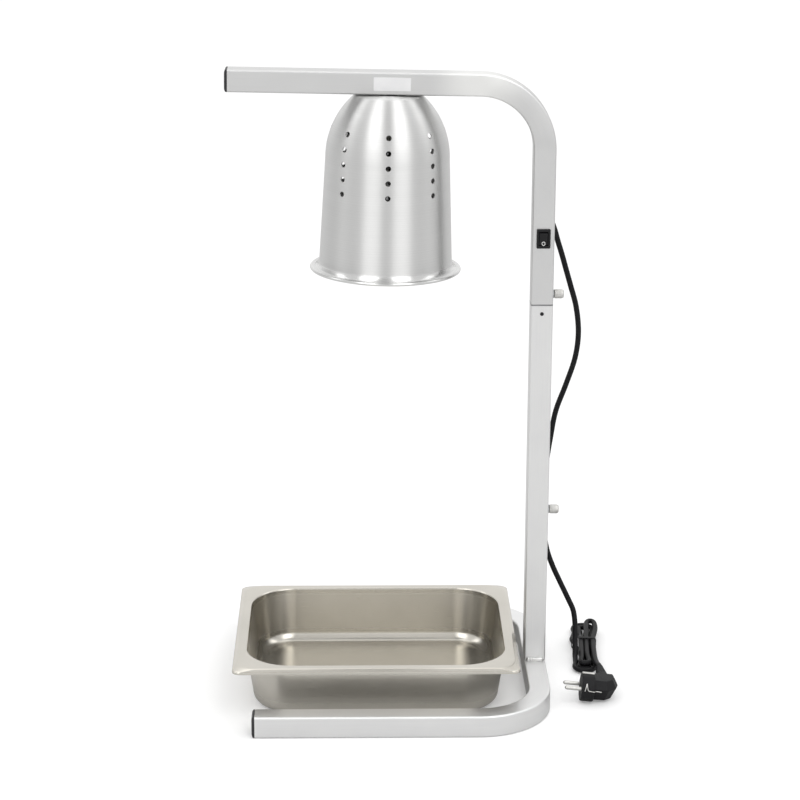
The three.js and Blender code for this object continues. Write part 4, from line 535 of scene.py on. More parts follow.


# Painted light: the base, the lower post and the upper tube are one anodised tube, but each has its own copy of the
# finish, toned for how the light falls on it. The base's copy is the lightest.
base_finish_painted_lighter = satin_aluminium("satin_anodised_aluminium", "#e9e9e9", "#f1f1f0")
rail_start = BASE_END + CAP_FLANGE + FIT
base_corners = [(rail_start, -RAIL_Y), (0, -RAIL_Y), (0, RAIL_Y), (rail_start, RAIL_Y)]
base_tube = bent_tube("base_tube", [(x, y, TUBE / 2) for x, y in base_corners], base_finish_painted_lighter)
for side in (-1, 1):
    bulge(base_tube, (-BEND, side * (RAIL_Y - BEND), TUBE / 2), 2, 1, (sqrt(0.5), side * sqrt(0.5)), 0.0004)
crisp(base_tube)
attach(base_tube, "base")
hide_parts("base_frame")

# The welds in front of and behind the post: beads laid by hand, one puddle on the next
bead_row = bpy.data.node_groups.new("row_of_weld_puddles", "GeometryNodeTree")
given = inputs_of(bead_row, Length="Float", Count="Int", Radius="Float", Finish="Material")
half_length = add(bead_row, "ShaderNodeMath", {0: given["Length"], 1: 0.5}, operation="MULTIPLY")
backwards = add(bead_row, "ShaderNodeMath", {0: half_length, 1: -1.0}, operation="MULTIPLY")
first = add(bead_row, "ShaderNodeCombineXYZ", {"X": backwards})
last = add(bead_row, "ShaderNodeCombineXYZ", {"X": half_length})
line = add(
    bead_row, "GeometryNodeMeshLine", {"Count": given["Count"], "Start Location": first, "Offset": last},
    mode="END_POINTS",
)
puddle = add(bead_row, "GeometryNodeMeshIcoSphere", {"Radius": given["Radius"], "Subdivisions": 3})
jitter = add(bead_row, "FunctionNodeRandomValue", {2: 0.9, 3: 1.08, "Seed": 4}, data_type="FLOAT")
spread = add(
    bead_row, "GeometryNodeInstanceOnPoints", {"Points": line, "Instance": puddle, "Scale": jitter.outputs[1]},
)
output_of(bead_row, spread, given["Finish"])

weld_metal, tree = new_material("bright_weld_metal")
object_place = add(tree, "ShaderNodeTexCoord").outputs["Object"]
mottle = add(tree, "ShaderNodeTexNoise", {"Vector": object_place, "Scale": 900.0, "Detail": 4.0})
tone = add(tree, "ShaderNodeValToRGB", {"Fac": mottle}, ((0.0, "#e4e4e3"), (1.0, "#f6f6f4")))
relief = add(tree, "ShaderNodeBump", {"Height": mottle, "Strength": 0.25, "Distance": 0.0002})
weld = add(
    tree, "ShaderNodeBsdfPrincipled", {"Base Color": tone, "Metallic": 1.0, "Roughness": 0.3, "Normal": relief},
)
add(tree, "ShaderNodeOutputMaterial", {"Surface": weld})
WELD_OUT = 0.0008
for name, side in (("weld_front", -1), ("weld_rear", 1)):
    weld = grown(name, bead_row, Length=0.02, Count=11, Radius=0.0034, Finish=weld_metal)
    weld.data.transform(
        Matrix.Translation((0, side * (TUBE / 2 + WELD_OUT), TUBE + WELD_OUT))
        @ Matrix.Rotation(side * radians(45), 4, "X") @ Matrix.Diagonal((0.75, 1.15, 0.7, 1))
    )
    weld.data.shade_smooth()
    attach(weld, "base")

# ---------------------------------------------------------------------------------------------------------
# End caps: black polyethylene, moulded, pushed into the two open ends of the base and the end of the arm.
# Only the flange shows, with its rounded rim and slightly domed face.


def solid(name, vertices, faces, material=None):
    """A mesh object whose faces point outwards."""
    mesh = bpy.data.meshes.new(name)
    work = bmesh.new()
    corners = [work.verts.new(v) for v in vertices]
    for face in faces:
        if len(set(face)) == len(face):
            work.faces.new([corners[i] for i in face])
    bmesh.ops.remove_doubles(work, verts=work.verts, dist=1e-6)
    bmesh.ops.recalc_face_normals(work, faces=work.faces)
    work.to_mesh(mesh)
    work.free()
    if material:
        mesh.materials.append(material)
    return place(name, mesh)


def skin(rings, ends=True):
    """Vertices and faces over rings of equally many points: both ends closed, or the last ring on the first."""
    size = len(rings[0])
    vertices = [tuple(p) for ring in rings for p in ring]
    faces = []
    for r in range(len(rings) - (1 if ends else 0)):
        here, there = r * size, (r + 1) % len(rings) * size
        faces += [(here + k, here + (k + 1) % size, there + (k + 1) % size, there + k) for k in range(size)]
    if ends:
        faces += [tuple(reversed(range(size))), tuple(range(len(vertices) - size, len(vertices)))]
    return vertices, faces


def rounded_outline(width, height, radius, steps):
    """Points of a rectangle with rounded corners, anticlockwise."""
    points = []
    for corner in range(4):
        across = 1 if corner in (0, 3) else -1
        upwards = 1 if corner < 2 else -1
        x, y = across * (width / 2 - radius), upwards * (height / 2 - radius)
        for i in range(steps + 1):
            angle = (corner + i / steps) * pi / 2
            points.append((x + radius * cos(angle), y + radius * sin(angle)))
    return points


# Polyethylene, moulded: almost black, a fine spark-eroded grain of 0.3 mm, a soft sheen
cap_plastic, tree = new_material("black_moulded_plastic")
object_place = add(tree, "ShaderNodeTexCoord").outputs["Object"]
spark = add(tree, "ShaderNodeTexNoise", {"Vector": object_place, "Scale": 1600.0, "Detail": 2.0})
cloud = add(tree, "ShaderNodeTexNoise", {"Vector": object_place, "Scale": 120.0, "Detail": 3.0})
tone = add(tree, "ShaderNodeValToRGB", {"Fac": cloud}, ((0.0, "#161618"), (1.0, "#232325")))
rough = add(tree, "ShaderNodeMapRange", {"Value": cloud, "To Min": 0.36, "To Max": 0.52})
relief = add(tree, "ShaderNodeBump", {"Height": spark, "Strength": 0.15, "Distance": 0.0001})
moulded = add(
    tree, "ShaderNodeBsdfPrincipled", {"Base Color": tone, "Roughness": rough, "Normal": relief, "IOR": 1.5},
)
add(tree, "ShaderNodeOutputMaterial", {"Surface": moulded})


def end_cap(name, frame_matrix, body, node):
    """A cap whose flange starts at X = 0 and faces -X, put in its place by the matrix."""
    # X and how far the face is inside the tube's outline there
    face = [(0.0, 0.0045), (0.0002, 0.0028), (0.0007, 0.0014), (0.0013, 0.0005), (0.0021, 0.0), (CAP_FLANGE, 0.0)]
    shank, shank_end = TUBE - 2 * WALL - 2 * FIT, CAP_FLANGE + 0.011
    rows = [(x, TUBE - 2 * inset, max(0.0022 - inset / 3, 0.001)) for x, inset in face]
    rows += [(CAP_FLANGE, shank, 0.001), (shank_end, shank, 0.001)]
    rows += [(shank_end, shank - 0.004, 0.0008), (CAP_FLANGE + 0.001, shank - 0.004, 0.0008)]
    rings = [[(x, y, z) for y, z in rounded_outline(size, size, radius, 5)] for x, size, radius in rows]
    cap = solid(name, *skin(rings), cap_plastic)
    cap.data.transform(frame_matrix)
    crisp(cap, 40)
    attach(cap, body)
    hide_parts(node)


end_cap("cap_base_front", Matrix.Translation((BASE_END, -RAIL_Y, TUBE / 2)), "base", "base_cap_front")
end_cap("cap_base_rear", Matrix.Translation((BASE_END, RAIL_Y, TUBE / 2)), "base", "base_cap_rear")

# ---------------------------------------------------------------------------------------------------------
# The lower post: the same square tube, welded on the right run of the base. A plastic bush in its top, held
# by a small black screw, guides the thinner tube that slides inside.

SEAM, SEAM_GAP = 0.455, 0.0016
# Painted shade: the post's copy of the finish is toned a little darker than the base's
post_finish_painted_darker = satin_aluminium("satin_anodised_aluminium_post", "#e4e4e4", "#ececeb")
lower_post = bent_tube("lower_post_tube", [(0, 0, TUBE + FIT), (0, 0, SEAM)], post_finish_painted_darker)
crisp(lower_post)
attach(lower_post, "base")
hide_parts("lower_post")


def dress(node, material):
    """A CAD node keeps its shape and gets a finish."""
    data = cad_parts[node].data
    data.materials.clear()
    data.materials.append(material)


# The bush is natural grey nylon: its flange is the thin line at the seam
nylon, tree = new_material("grey_nylon")
object_place = add(tree, "ShaderNodeTexCoord").outputs["Object"]
cloud = add(tree, "ShaderNodeTexNoise", {"Vector": object_place, "Scale": 300.0, "Detail": 3.0})
tone = add(tree, "ShaderNodeValToRGB", {"Fac": cloud}, ((0.0, "#77787a"), (1.0, "#8a8b8d")))
bush = add(tree, "ShaderNodeBsdfPrincipled", {"Base Color": tone, "Roughness": 0.5, "IOR": 1.5})
add(tree, "ShaderNodeOutputMaterial", {"Surface": bush})
for node in ("guide_bush", "packing_sleeve"):
    dress(node, nylon)

# The screw in the bush and the nuts in the tube walls
black_steel = surface("blackened_steel", "#18181a", "#2a2a2c", 0.6, 0.35, 0.5, 700.0, 0.1)
zinc_steel = surface("zinc_plated_steel", "#a9acae", "#bfc2c4", 1.0, 0.3, 0.45, 500.0, 0.05)
nickel_brass = surface("nickel_plated_brass", "#c6c5c1", "#d6d5d2", 1.0, 0.26, 0.36, 300.0, 0.03)
dress("bush_screw", black_steel)
for node in ("lower_clinch_nut", "upper_clinch_nut"):
    dress(node, zinc_steel)

# The slide tube: 19 mm square aluminium, inside the post and 44 mm up into the foot of the upper tube
SLIDE_FOOT, SLIDE_TOP = 0.04, SEAM + SEAM_GAP + 0.0444
slide_finish = satin_aluminium("satin_aluminium_slide", "#cfcfcf", "#dadad9")
slide = bent_tube(
    "slide_tube_drawn", [(0, 0, SLIDE_FOOT), (0, 0, SLIDE_TOP)], slide_finish, side=0.019, corner=0.0015, bend=0.0,
    bend_steps=1, corner_steps=4,
)
crisp(slide)
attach(slide, "upper")
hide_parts("slide_tube")

# ---------------------------------------------------------------------------------------------------------
# The two thumb screws on the right of the tubes: turned from brass, nickel plated, with a fine straight
# knurl round the head. Each turns in a nut clinched into the tube wall.

LOWER_SCREW_Z, UPPER_SCREW_Z = 0.209, 0.466
KNURL_TEETH = 36
KNURL_DEPTHS = (0.0, 0.00007, 0.0002, 0.00007)


def thumb_screw(name, body, node, height):
    """A screw whose axis lies along X at this height."""
    start, end, radius, shank = TUBE / 2 + 0.0015, TUBE / 2 + 0.0125, 0.0052, 0.0024
    # X and radius: shank, underside, knurled band, and the rounded end with its shallow dish
    rows = [
        (0.0098, shank), (start, shank), (start, radius - 0.0009), (start + 0.0005, radius - 0.0004),
        (start + 0.0011, radius), (end - 0.0022, radius), (end - 0.0017, radius - 0.0004),
        (end - 0.0008, radius - 0.0005), (end - 0.0003, radius - 0.0008), (end, radius - 0.0014),
        (end, radius - 0.0030), (end - 0.0003, radius - 0.0034),
    ]
    rings = []
    for x, size in rows:
        ring = []
        for k in range(4 * KNURL_TEETH):
            angle = 2 * pi * k / (4 * KNURL_TEETH)
            r = size - (KNURL_DEPTHS[k % 4] if size == radius else 0.0)
            ring.append((x, r * cos(angle), height + r * sin(angle)))
        rings.append(ring)
    screw = solid(name, *skin(rings), nickel_brass)
    crisp(screw, 40)
    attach(screw, body)
    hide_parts(node)


thumb_screw("thumb_screw_lower", "lower_screw", "lower_thumb_screw", LOWER_SCREW_Z)
thumb_screw("thumb_screw_upper", "upper_screw", "upper_thumb_screw", UPPER_SCREW_Z)

# ---------------------------------------------------------------------------------------------------------
# The upper tube: post, bend and arm in one length of the same square tube, with holes for the switch, the
# cord and the nipple of the lamp. A plain silver plate stands on the front of the arm.

ARM_RISE = radians(1)
UPPER_FOOT = SEAM + SEAM_GAP
POST_TOP = 0.702498
SWITCH_Z = 0.5324
OUTLET_Z = 0.57
LAMP_REACH, LAMP_ROOT = 0.1726, 0.693009
ARM_END = 0.3528


def arm_axis(reach):
    """The height of the arm's middle at this reach from the post."""
    return POST_TOP + reach * tan(ARM_RISE)


def carve(item, *cutters):
    """The object with the cutters' shapes taken out of it."""
    for cutter in cutters:
        cut = item.modifiers.new("cut", "BOOLEAN")
        cut.operation, cut.solver, cut.object = "DIFFERENCE", "EXACT", cutter
    finished(item)
    for cutter in cutters:
        bpy.data.objects.remove(cutter)


def round_bar(name, start, end, radius, sides=32):
    """A round bar between two points, for cutting holes."""
    start, end = Vector(start), Vector(end)
    axis = end - start
    placed = Matrix.Translation(start) @ axis.to_track_quat("Z", "Y").to_matrix().to_4x4()
    circle = [(radius * cos(2 * pi * k / sides), radius * sin(2 * pi * k / sides)) for k in range(sides)]
    rings = [[tuple(placed @ Vector((u, v, h))) for u, v in circle] for h in (0.0, axis.length)]
    return solid(name, *skin(rings))


def box_between(name, low, high):
    """A box between two corners, for cutting holes."""
    corners = [(x, y, z) for x in (low[0], high[0]) for y in (low[1], high[1]) for z in (low[2], high[2])]
    faces = [(0, 1, 3, 2), (4, 6, 7, 5), (0, 4, 5, 1), (2, 3, 7, 6), (0, 2, 6, 4), (1, 5, 7, 3)]
    return solid(name, corners, faces)


# The lamp's own frame: its origin is on the underside of the arm, X runs back along the arm and Z up through it
lamp_frame = Matrix.Translation((-LAMP_REACH, 0, LAMP_ROOT)) @ Matrix.Rotation(ARM_RISE, 4, "Y")
arm_stop = ARM_END - (CAP_FLANGE + FIT) * cos(ARM_RISE)
# A painted highlight on the upper half of the arm's bend: a paler spot in the tube's colour
painted_bend_highlight = ((-0.072, -TUBE / 2, 0.712), "#f0f0ee")
# Painted shade: the upper tube's copy of the finish is toned darker than the base's and the post's
upper_finish_painted_darkest = satin_aluminium("satin_anodised_aluminium_upper", "#d4d4d4", "#dbdbda", painted_bend_highlight)
arm_line = [(0, 0, UPPER_FOOT), (0, 0, POST_TOP), (-arm_stop, 0, arm_axis(arm_stop))]
upper_tube = bent_tube("upper_tube", arm_line, upper_finish_painted_darkest)
bend_centre = (-BEND, 0, POST_TOP + BEND * tan(ARM_RISE) - BEND / cos(ARM_RISE))
bulge(upper_tube, bend_centre, 1, -1, (sqrt(0.5), sqrt(0.5)), 0.0006)
SCREW_HOLE, OUTLET_HOLE, NIPPLE_HOLE, WINDOW_WIDE, WINDOW_HIGH = 0.0038, 0.005, 0.0051, 0.0132, 0.0196
window_low = (-WINDOW_WIDE / 2, -0.02, SWITCH_Z - WINDOW_HIGH / 2)
window_high = (WINDOW_WIDE / 2, -0.009, SWITCH_Z + WINDOW_HIGH / 2)
carve(
    upper_tube,
    box_between("window", window_low, window_high),
    round_bar("outlet_hole", (0, 0.009, OUTLET_Z), (0, 0.02, OUTLET_Z), OUTLET_HOLE),
    round_bar("screw_hole", (0.009, 0, UPPER_SCREW_Z), (0.02, 0, UPPER_SCREW_Z), SCREW_HOLE),
    round_bar("nipple_hole", lamp_frame @ Vector((0, 0, -0.002)), lamp_frame @ Vector((0, 0, 0.004)), NIPPLE_HOLE),
)
crisp(upper_tube)
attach(upper_tube, "upper")
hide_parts("arm_tube")

end_cap(
    "cap_arm",
    Matrix.Translation((-ARM_END, 0, arm_axis(ARM_END))) @ Matrix.Rotation(ARM_RISE, 4, "Y"),
    "upper", "arm_end_cap",
)

# The plate: thin satin silver foil, bare, with rounded corners
plate_silver = surface("silver_foil_plate", "#e6e6e7", "#ececec", 0.4, 0.32, 0.4, 60.0, 0.02)
PLATE_LONG, PLATE_HIGH, PLATE_CORNER = 0.0408, 0.0146, 0.0008
plate_rings = []
for y, inset in ((0.0, 0.0), (-0.0002, 0.0), (-0.0003, 0.0001)):
    outline = rounded_outline(PLATE_LONG - 2 * inset, PLATE_HIGH - 2 * inset, PLATE_CORNER, 4)
    plate_rings.append([(x, y, z) for x, z in outline])
plate = solid("bare_plate", *skin(plate_rings), plate_silver)
plate.data.transform(
    Matrix.Translation((-0.169, -TUBE / 2 - 0.00005, 0.7051)) @ Matrix.Rotation(ARM_RISE, 4, "Y")
)
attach(plate, "upper")

# ---------------------------------------------------------------------------------------------------------
# The rocker switch on the front of the upper tube: a moulded black bezel with a curved rocker, lower end
# pressed in, that carries the ring that stands for off.

# Acetal and polyamide: near black, smoother than the caps
gloss = {"Specular IOR Level": 0.3}
switch_black = surface("glossy_black_plastic", "#0c0c0e", "#141416", 0.0, 0.28, 0.38, 400.0, 0.03, **gloss)
face = -TUBE / 2 - FIT
# Rings from inside the tube over the bezel's rim and down into its window: Y, width, height, corner radius
housing_rows = [(-TUBE / 2 + 0.0125, 0.0126, 0.019, 0.0006), (face, 0.0126, 0.019, 0.0006)]
for y, inset in ((0.0, 0.0), (-0.0010, 0.0), (-0.0015, 0.00022), (-0.0018, 0.0007)):
    housing_rows.append((face + y, 0.0155 - 2 * inset, 0.022 - 2 * inset, 0.0014))
for y, grow in ((0.0, 0.0003), (0.0003, 0.0), (0.0098, 0.0)):
    housing_rows.append((face - 0.0018 + y, 0.0102 + 2 * grow, 0.0158 + 2 * grow, 0.0005))
housing_rings = [
    [(x, y, SWITCH_Z + z) for x, z in rounded_outline(wide, high, radius, 5)] for y, wide, high, radius in housing_rows
]
housing = solid("switch_bezel", *skin(housing_rings), switch_black)
crisp(housing)
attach(housing, "upper")
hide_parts("switch_housing")

# The rocker: a segment about its axle with a dished face, tipped 8 degrees with its lower end in
ROCKER_R, ROCKER_CORNER, ROCKER_DISH, ROCKER_FOOT, ROCKER_WIDE = 0.0076, 0.0036, 0.0011, 0.005, 0.0096
rocker_turn = Matrix.Translation((0, -TUBE / 2 + 0.0012, SWITCH_Z)) @ Matrix.Rotation(radians(8), 4, "X")
reach = sqrt(ROCKER_R**2 - ROCKER_CORNER**2)
side = [
    (ROCKER_R * cos(a), ROCKER_R * sin(a))
    for a in np.linspace(-asin(ROCKER_FOOT / ROCKER_R), asin(ROCKER_CORNER / ROCKER_R), 9)
]
dish = [(reach * t, ROCKER_CORNER - ROCKER_DISH * (1 - t * t)) for t in np.linspace(1, -1, 17)[1:-1]]
rocker_outline = [*side, *dish, *[(-u, v) for u, v in reversed(side)]]
rocker_rings = [[(x, -v, u) for u, v in rocker_outline] for x in (-ROCKER_WIDE / 2, ROCKER_WIDE / 2)]
rocker = solid("rocker_curved", *skin(rocker_rings), switch_black)
edges = rocker.modifiers.new("edges", "BEVEL")
edges.width, edges.segments, edges.limit_method, edges.angle_limit = 0.0005, 3, "ANGLE", radians(32)
finished(rocker)
rocker.data.transform(rocker_turn)
crisp(rocker, 28)
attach(rocker, "rocker")
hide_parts("switch_rocker")

# The ring for off, printed in white on the lower half
print_white = surface("white_print", "#d9d9d7", "#e6e6e4", 0.0, 0.45, 0.55, 900.0)
MARK_R, MARK_HALF_LINE, MARK_LOW, PRINT_THICK, MARK_STEPS = 0.0017, 0.0003, -0.005, 0.0001, 48
mark_rings = []
for step in range(MARK_STEPS):
    angle = 2 * pi * step / MARK_STEPS
    section = []
    for wide, high in ((-1, 0.00002), (1, 0.00002), (1, PRINT_THICK), (-1, PRINT_THICK)):
        size = MARK_R + wide * MARK_HALF_LINE
        u, x = MARK_LOW + 1.1 * size * sin(angle), size * cos(angle)
        section.append((x, -(ROCKER_CORNER - ROCKER_DISH * (1 - (u / reach) ** 2) + high), u))
    mark_rings.append(section)
mark = solid("mark_off", *skin(mark_rings, ends=False), print_white)
mark.data.transform(rocker_turn)
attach(mark, "rocker")

# ---------------------------------------------------------------------------------------------------------
# Inside the tube and on its back: the bushing that the cord leaves by, brass terminals, three coloured leads
# to the lamp holder and the earth screw through the back wall.


def lathe(name, profile, steps, matrix, material=None, closed=False):
    """A turned piece from (radius, height) points about Z, put in its place by the matrix."""
    rings = [[(r * cos(a), r * sin(a), h) for r, h in profile] for a in np.linspace(0, 2 * pi, steps, endpoint=False)]
    vertices = [point for ring in rings for point in ring]
    size, faces = len(profile), []
    for s in range(steps):
        here, there = s * size, (s + 1) % steps * size
        for k in range(size if closed else size - 1):
            after = (k + 1) % size
            faces.append((here + k, there + k, there + after, here + after))
    item = solid(name, vertices, faces, material)
    item.data.transform(matrix)
    return item


def turned_corner(points, radius, steps=3):
    """A profile with each inner corner rounded to the radius."""
    rounded = [points[0]]
    for before, at, after in zip(points, points[1:], points[2:]):
        before, at, after = Vector(before), Vector(at), Vector(after)
        one, two = before - at, after - at
        # A corner never takes up half of a side
        reach = min(radius, one.length / 2.2, two.length / 2.2)
        start, stop = at + one.normalized() * reach, at + two.normalized() * reach
        for i in range(steps + 1):
            t = i / steps
            rounded.append(tuple(start * (1 - t) ** 2 + at * 2 * t * (1 - t) + stop * t * t))
    return [*rounded, points[-1]]


# The bushing: a flange outside the wall and a short sleeve round the cord with ribs, every second one lower
ribs = [(0.0048 - 0.0002 * k - (0.0004 if k % 2 else 0.0), 0.0028 + 0.0007 * k) for k in range(1, 8)]
bushing_points = [
    (0.0034, -0.0026), (0.0048, -0.0026), (0.0048, FIT), (0.007, FIT), (0.007, FIT + 0.0022), (0.0052, FIT + 0.0022),
    *ribs, (0.0036, 0.008), (0.0034, 0.0079),
]
bushing_profile = turned_corner(bushing_points, 0.0004)
bushing = lathe(
    "cord_bushing", bushing_profile, 48,
    Matrix.Translation((0, TUBE / 2, OUTLET_Z)) @ Matrix.Rotation(radians(-90), 4, "X"), cap_plastic, closed=True,
)
crisp(bushing, 30)
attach(bushing, "upper")
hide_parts("cord_outlet")

bare_brass = surface("bare_brass", "#b8974c", "#cbaa5c", 1.0, 0.28, 0.42, 260.0, 0.04)
for node in (
    "switch_terminal_upper", "switch_terminal_lower", "earth_lug", "nipple", "arm_nut", "shade_nut", "holder_shell",
    "holder_contact",
):
    dress(node, bare_brass)
for node in ("earth_screw", "earth_nut"):
    dress(node, zinc_steel)
brown = surface("brown_insulation", "#4e2f1c", "#5b3822", 0.0, 0.42, 0.55, 500.0)
blue = surface("blue_insulation", "#1f4fa0", "#2a5cae", 0.0, 0.42, 0.55, 500.0)
for node, material in (("lead_live_in", brown), ("lead_live_out", brown), ("lead_neutral", blue)):
    dress(node, material)

# The earth lead: green with a yellow stripe, 6 mm wide bands along its way
stripes, tree = new_material("green_yellow_insulation")
object_place = add(tree, "ShaderNodeTexCoord").outputs["Object"]
bands = add(
    tree, "ShaderNodeTexWave", {"Vector": object_place, "Scale": 52.0, "Distortion": 0.0}, bands_direction="DIAGONAL",
)
tone = add(tree, "ShaderNodeValToRGB", {"Fac": bands.outputs["Fac"]}, ((0.0, "#2f7a34"), (0.55, "#d7c62c")))
tone.color_ramp.interpolation = "CONSTANT"
striped = add(tree, "ShaderNodeBsdfPrincipled", {"Base Color": tone, "Roughness": 0.5})
add(tree, "ShaderNodeOutputMaterial", {"Surface": striped})
dress("lead_earth", stripes)

# ---------------------------------------------------------------------------------------------------------
# The shade: one disc of aluminium spun to a domed bell with a flared mouth and a rolled edge, pierced with
# eight columns of five round vents. Turning leaves fine rings that pull every highlight out up and down.

SHADE_HIGH, SHADE_SHEET, SHADE_TOP, SHADE_HOLE = 0.1964, 0.0012, 0.0011, 0.0051
SHOULDER_R, SHOULDER_DEPTH, DOME_R = 0.069, 0.07, 0.093
MOUTH_R, LIP_R, BEAD = 0.0743, 0.0845, 0.0036
FIRST_VENT = 0.0372


def arc(centre, radius, start, stop, steps):
    """Points of an arc from one angle to another, in degrees."""
    angles = [radians(start + (stop - start) * i / steps) for i in range(steps + 1)]
    return [(centre[0] + radius * cos(a), centre[1] + radius * sin(a)) for a in angles]


def stepped(points, step):
    """The same line with further points where two stand wider apart than the step."""
    line = [points[0]]
    for start, stop in zip(points, points[1:]):
        count = max(1, round(sqrt((stop[0] - start[0]) ** 2 + (stop[1] - start[1]) ** 2) / step))
        line += [tuple(start[k] + (stop[k] - start[k]) * i / count for k in (0, 1)) for i in range(1, count + 1)]
    return line


def shade_side(inset):
    """One side of the shade's sheet, (radius, depth) from the hole in the top to the flare."""
    radius = DOME_R - inset
    top = asin((SHOULDER_DEPTH - inset) / radius) * 180 / pi
    dome = arc((SHOULDER_R - DOME_R, SHOULDER_DEPTH), radius, -top, 0, 40)
    flare = LIP_R - BEAD / 2 - MOUTH_R
    lip = arc((MOUTH_R + flare, SHADE_HIGH - BEAD / 2 - flare), flare + inset, 180, 105, 14)
    return stepped([(SHADE_HOLE, inset), *dome, *lip], 0.0035)


bead = arc((LIP_R - BEAD / 2, SHADE_HIGH - BEAD / 2), BEAD / 2, -90, 160, 20)
shade_profile = [*shade_side(0.0), *bead, *reversed(shade_side(SHADE_SHEET))]
shade_blank = lathe(
    "shade_spun", [(r, -SHADE_TOP - d) for r, d in shade_profile], 192, Matrix.Identity(4), closed=True
)
whole_shade = shade_blank.data

# Spun aluminium: bright, with turning lines 0.8 mm apart (coarser than the real 0.3 mm, which would not show).
# The lip is polished smoother by the roller that turned its edge.
spun, tree = new_material("spun_aluminium")
object_place = add(tree, "ShaderNodeTexCoord").outputs["Object"]
height = add(tree, "ShaderNodeSeparateXYZ", {0: object_place}).outputs["Z"]
rings, waves = (
    add(
        tree, "ShaderNodeTexNoise",
        {"W": add(tree, "ShaderNodeMath", {0: height, 1: lines}, operation="MULTIPLY"), "Scale": 1.0, "Detail": 2.0},
        noise_dimensions="1D",
    )
    for lines in (1250.0, 90.0)
)
tone = add(tree, "ShaderNodeValToRGB", {"Fac": rings}, ((0.3, "#dcdcdb"), (0.7, "#e2e2e1")))
at_lip = {"From Min": 0.508, "From Max": 0.502, "To Min": 1.0, "To Max": 0.55}
lip = add(tree, "ShaderNodeMapRange", {"Value": height, **at_lip})
rough = add(tree, "ShaderNodeMapRange", {"Value": waves, "To Min": 0.38, "To Max": 0.46})
polish = add(tree, "ShaderNodeMath", {0: rough, 1: lip}, operation="MULTIPLY")
relief = add(tree, "ShaderNodeBump", {"Height": rings, "Strength": 0.05, "Distance": 0.0001})
from_axis = add(tree, "ShaderNodeVectorMath", {0: object_place, 1: (LAMP_REACH, 0.0, 0.0)}, operation="ADD")
flat = add(tree, "ShaderNodeVectorMath", {0: from_axis, 1: (1.0, 1.0, 0.0)}, operation="MULTIPLY")
around = add(tree, "ShaderNodeVectorMath", {0: flat, 1: (0.0, 0.0, 1.0)}, operation="CROSS_PRODUCT")
tangent = add(tree, "ShaderNodeVectorMath", {0: around}, operation="NORMALIZE")
turned = add(
    tree, "ShaderNodeBsdfPrincipled",
    {
        "Base Color": tone, "Metallic": 1.0, "Roughness": polish, "Anisotropic": 0.92, "Anisotropic Rotation": 0.25,
        "Tangent": tangent, "Normal": relief,
    },
)
add(tree, "ShaderNodeOutputMaterial", {"Surface": turned})
whole_shade.materials.append(spun)

piercing = bpy.data.node_groups.new("pierced_columns", "GeometryNodeTree")
given = inputs_of(
    piercing, Blank="Geometry", Columns="Int", Rows="Int", Diameter="Float", Pitch="Float", First="Float",
    Reach="Float",
)
down = add(piercing, "ShaderNodeMath", {0: given["First"], 1: -1.0}, operation="MULTIPLY")
step_down = add(piercing, "ShaderNodeMath", {0: given["Pitch"], 1: -1.0}, operation="MULTIPLY")
first_hole = add(piercing, "ShaderNodeCombineXYZ", {"X": given["Reach"], "Z": down})
next_hole = add(piercing, "ShaderNodeCombineXYZ", {"Z": step_down})
column = add(
    piercing, "GeometryNodeMeshLine", {"Count": given["Rows"], "Start Location": first_hole, "Offset": next_hole},
)
half = add(piercing, "ShaderNodeMath", {0: given["Diameter"], 1: 0.5}, operation="MULTIPLY")
punch = add(piercing, "GeometryNodeMeshCylinder", {"Vertices": 40, "Radius": half, "Depth": given["Reach"]})
outwards = (0.0, pi / 2, 0.0)
punched = add(
    piercing, "GeometryNodeInstanceOnPoints", {"Points": column, "Instance": punch, "Rotation": outwards},
)
one_column = add(piercing, "GeometryNodeRealizeInstances", {"Geometry": punched})
axis_points = add(piercing, "GeometryNodeMeshLine", {"Count": given["Columns"], "Offset": (0.0, 0.0, 0.0)})
index = add(piercing, "GeometryNodeInputIndex")
share = add(piercing, "ShaderNodeMath", {0: index, 1: given["Columns"]}, operation="DIVIDE")
turn = add(piercing, "ShaderNodeMath", {0: share, 1: 2 * pi}, operation="MULTIPLY")
heading = add(piercing, "ShaderNodeCombineXYZ", {"Z": turn})
columns = add(
    piercing, "GeometryNodeInstanceOnPoints",
    {"Points": axis_points, "Instance": one_column, "Rotation": heading},
)
punches = add(piercing, "GeometryNodeRealizeInstances", {"Geometry": columns})
pierced = add(
    piercing, "GeometryNodeMeshBoolean", {"Mesh 1": given["Blank"], "Mesh 2": punches}, operation="DIFFERENCE",
)
output_of(piercing, pierced, spun)
bpy.data.objects.remove(shade_blank)
shade = grown(
    "shade_pierced", piercing, whole_shade, Columns=8, Rows=5, Diameter=0.006, Pitch=0.0162,
    First=SHADE_TOP + FIRST_VENT, Reach=0.06,
)


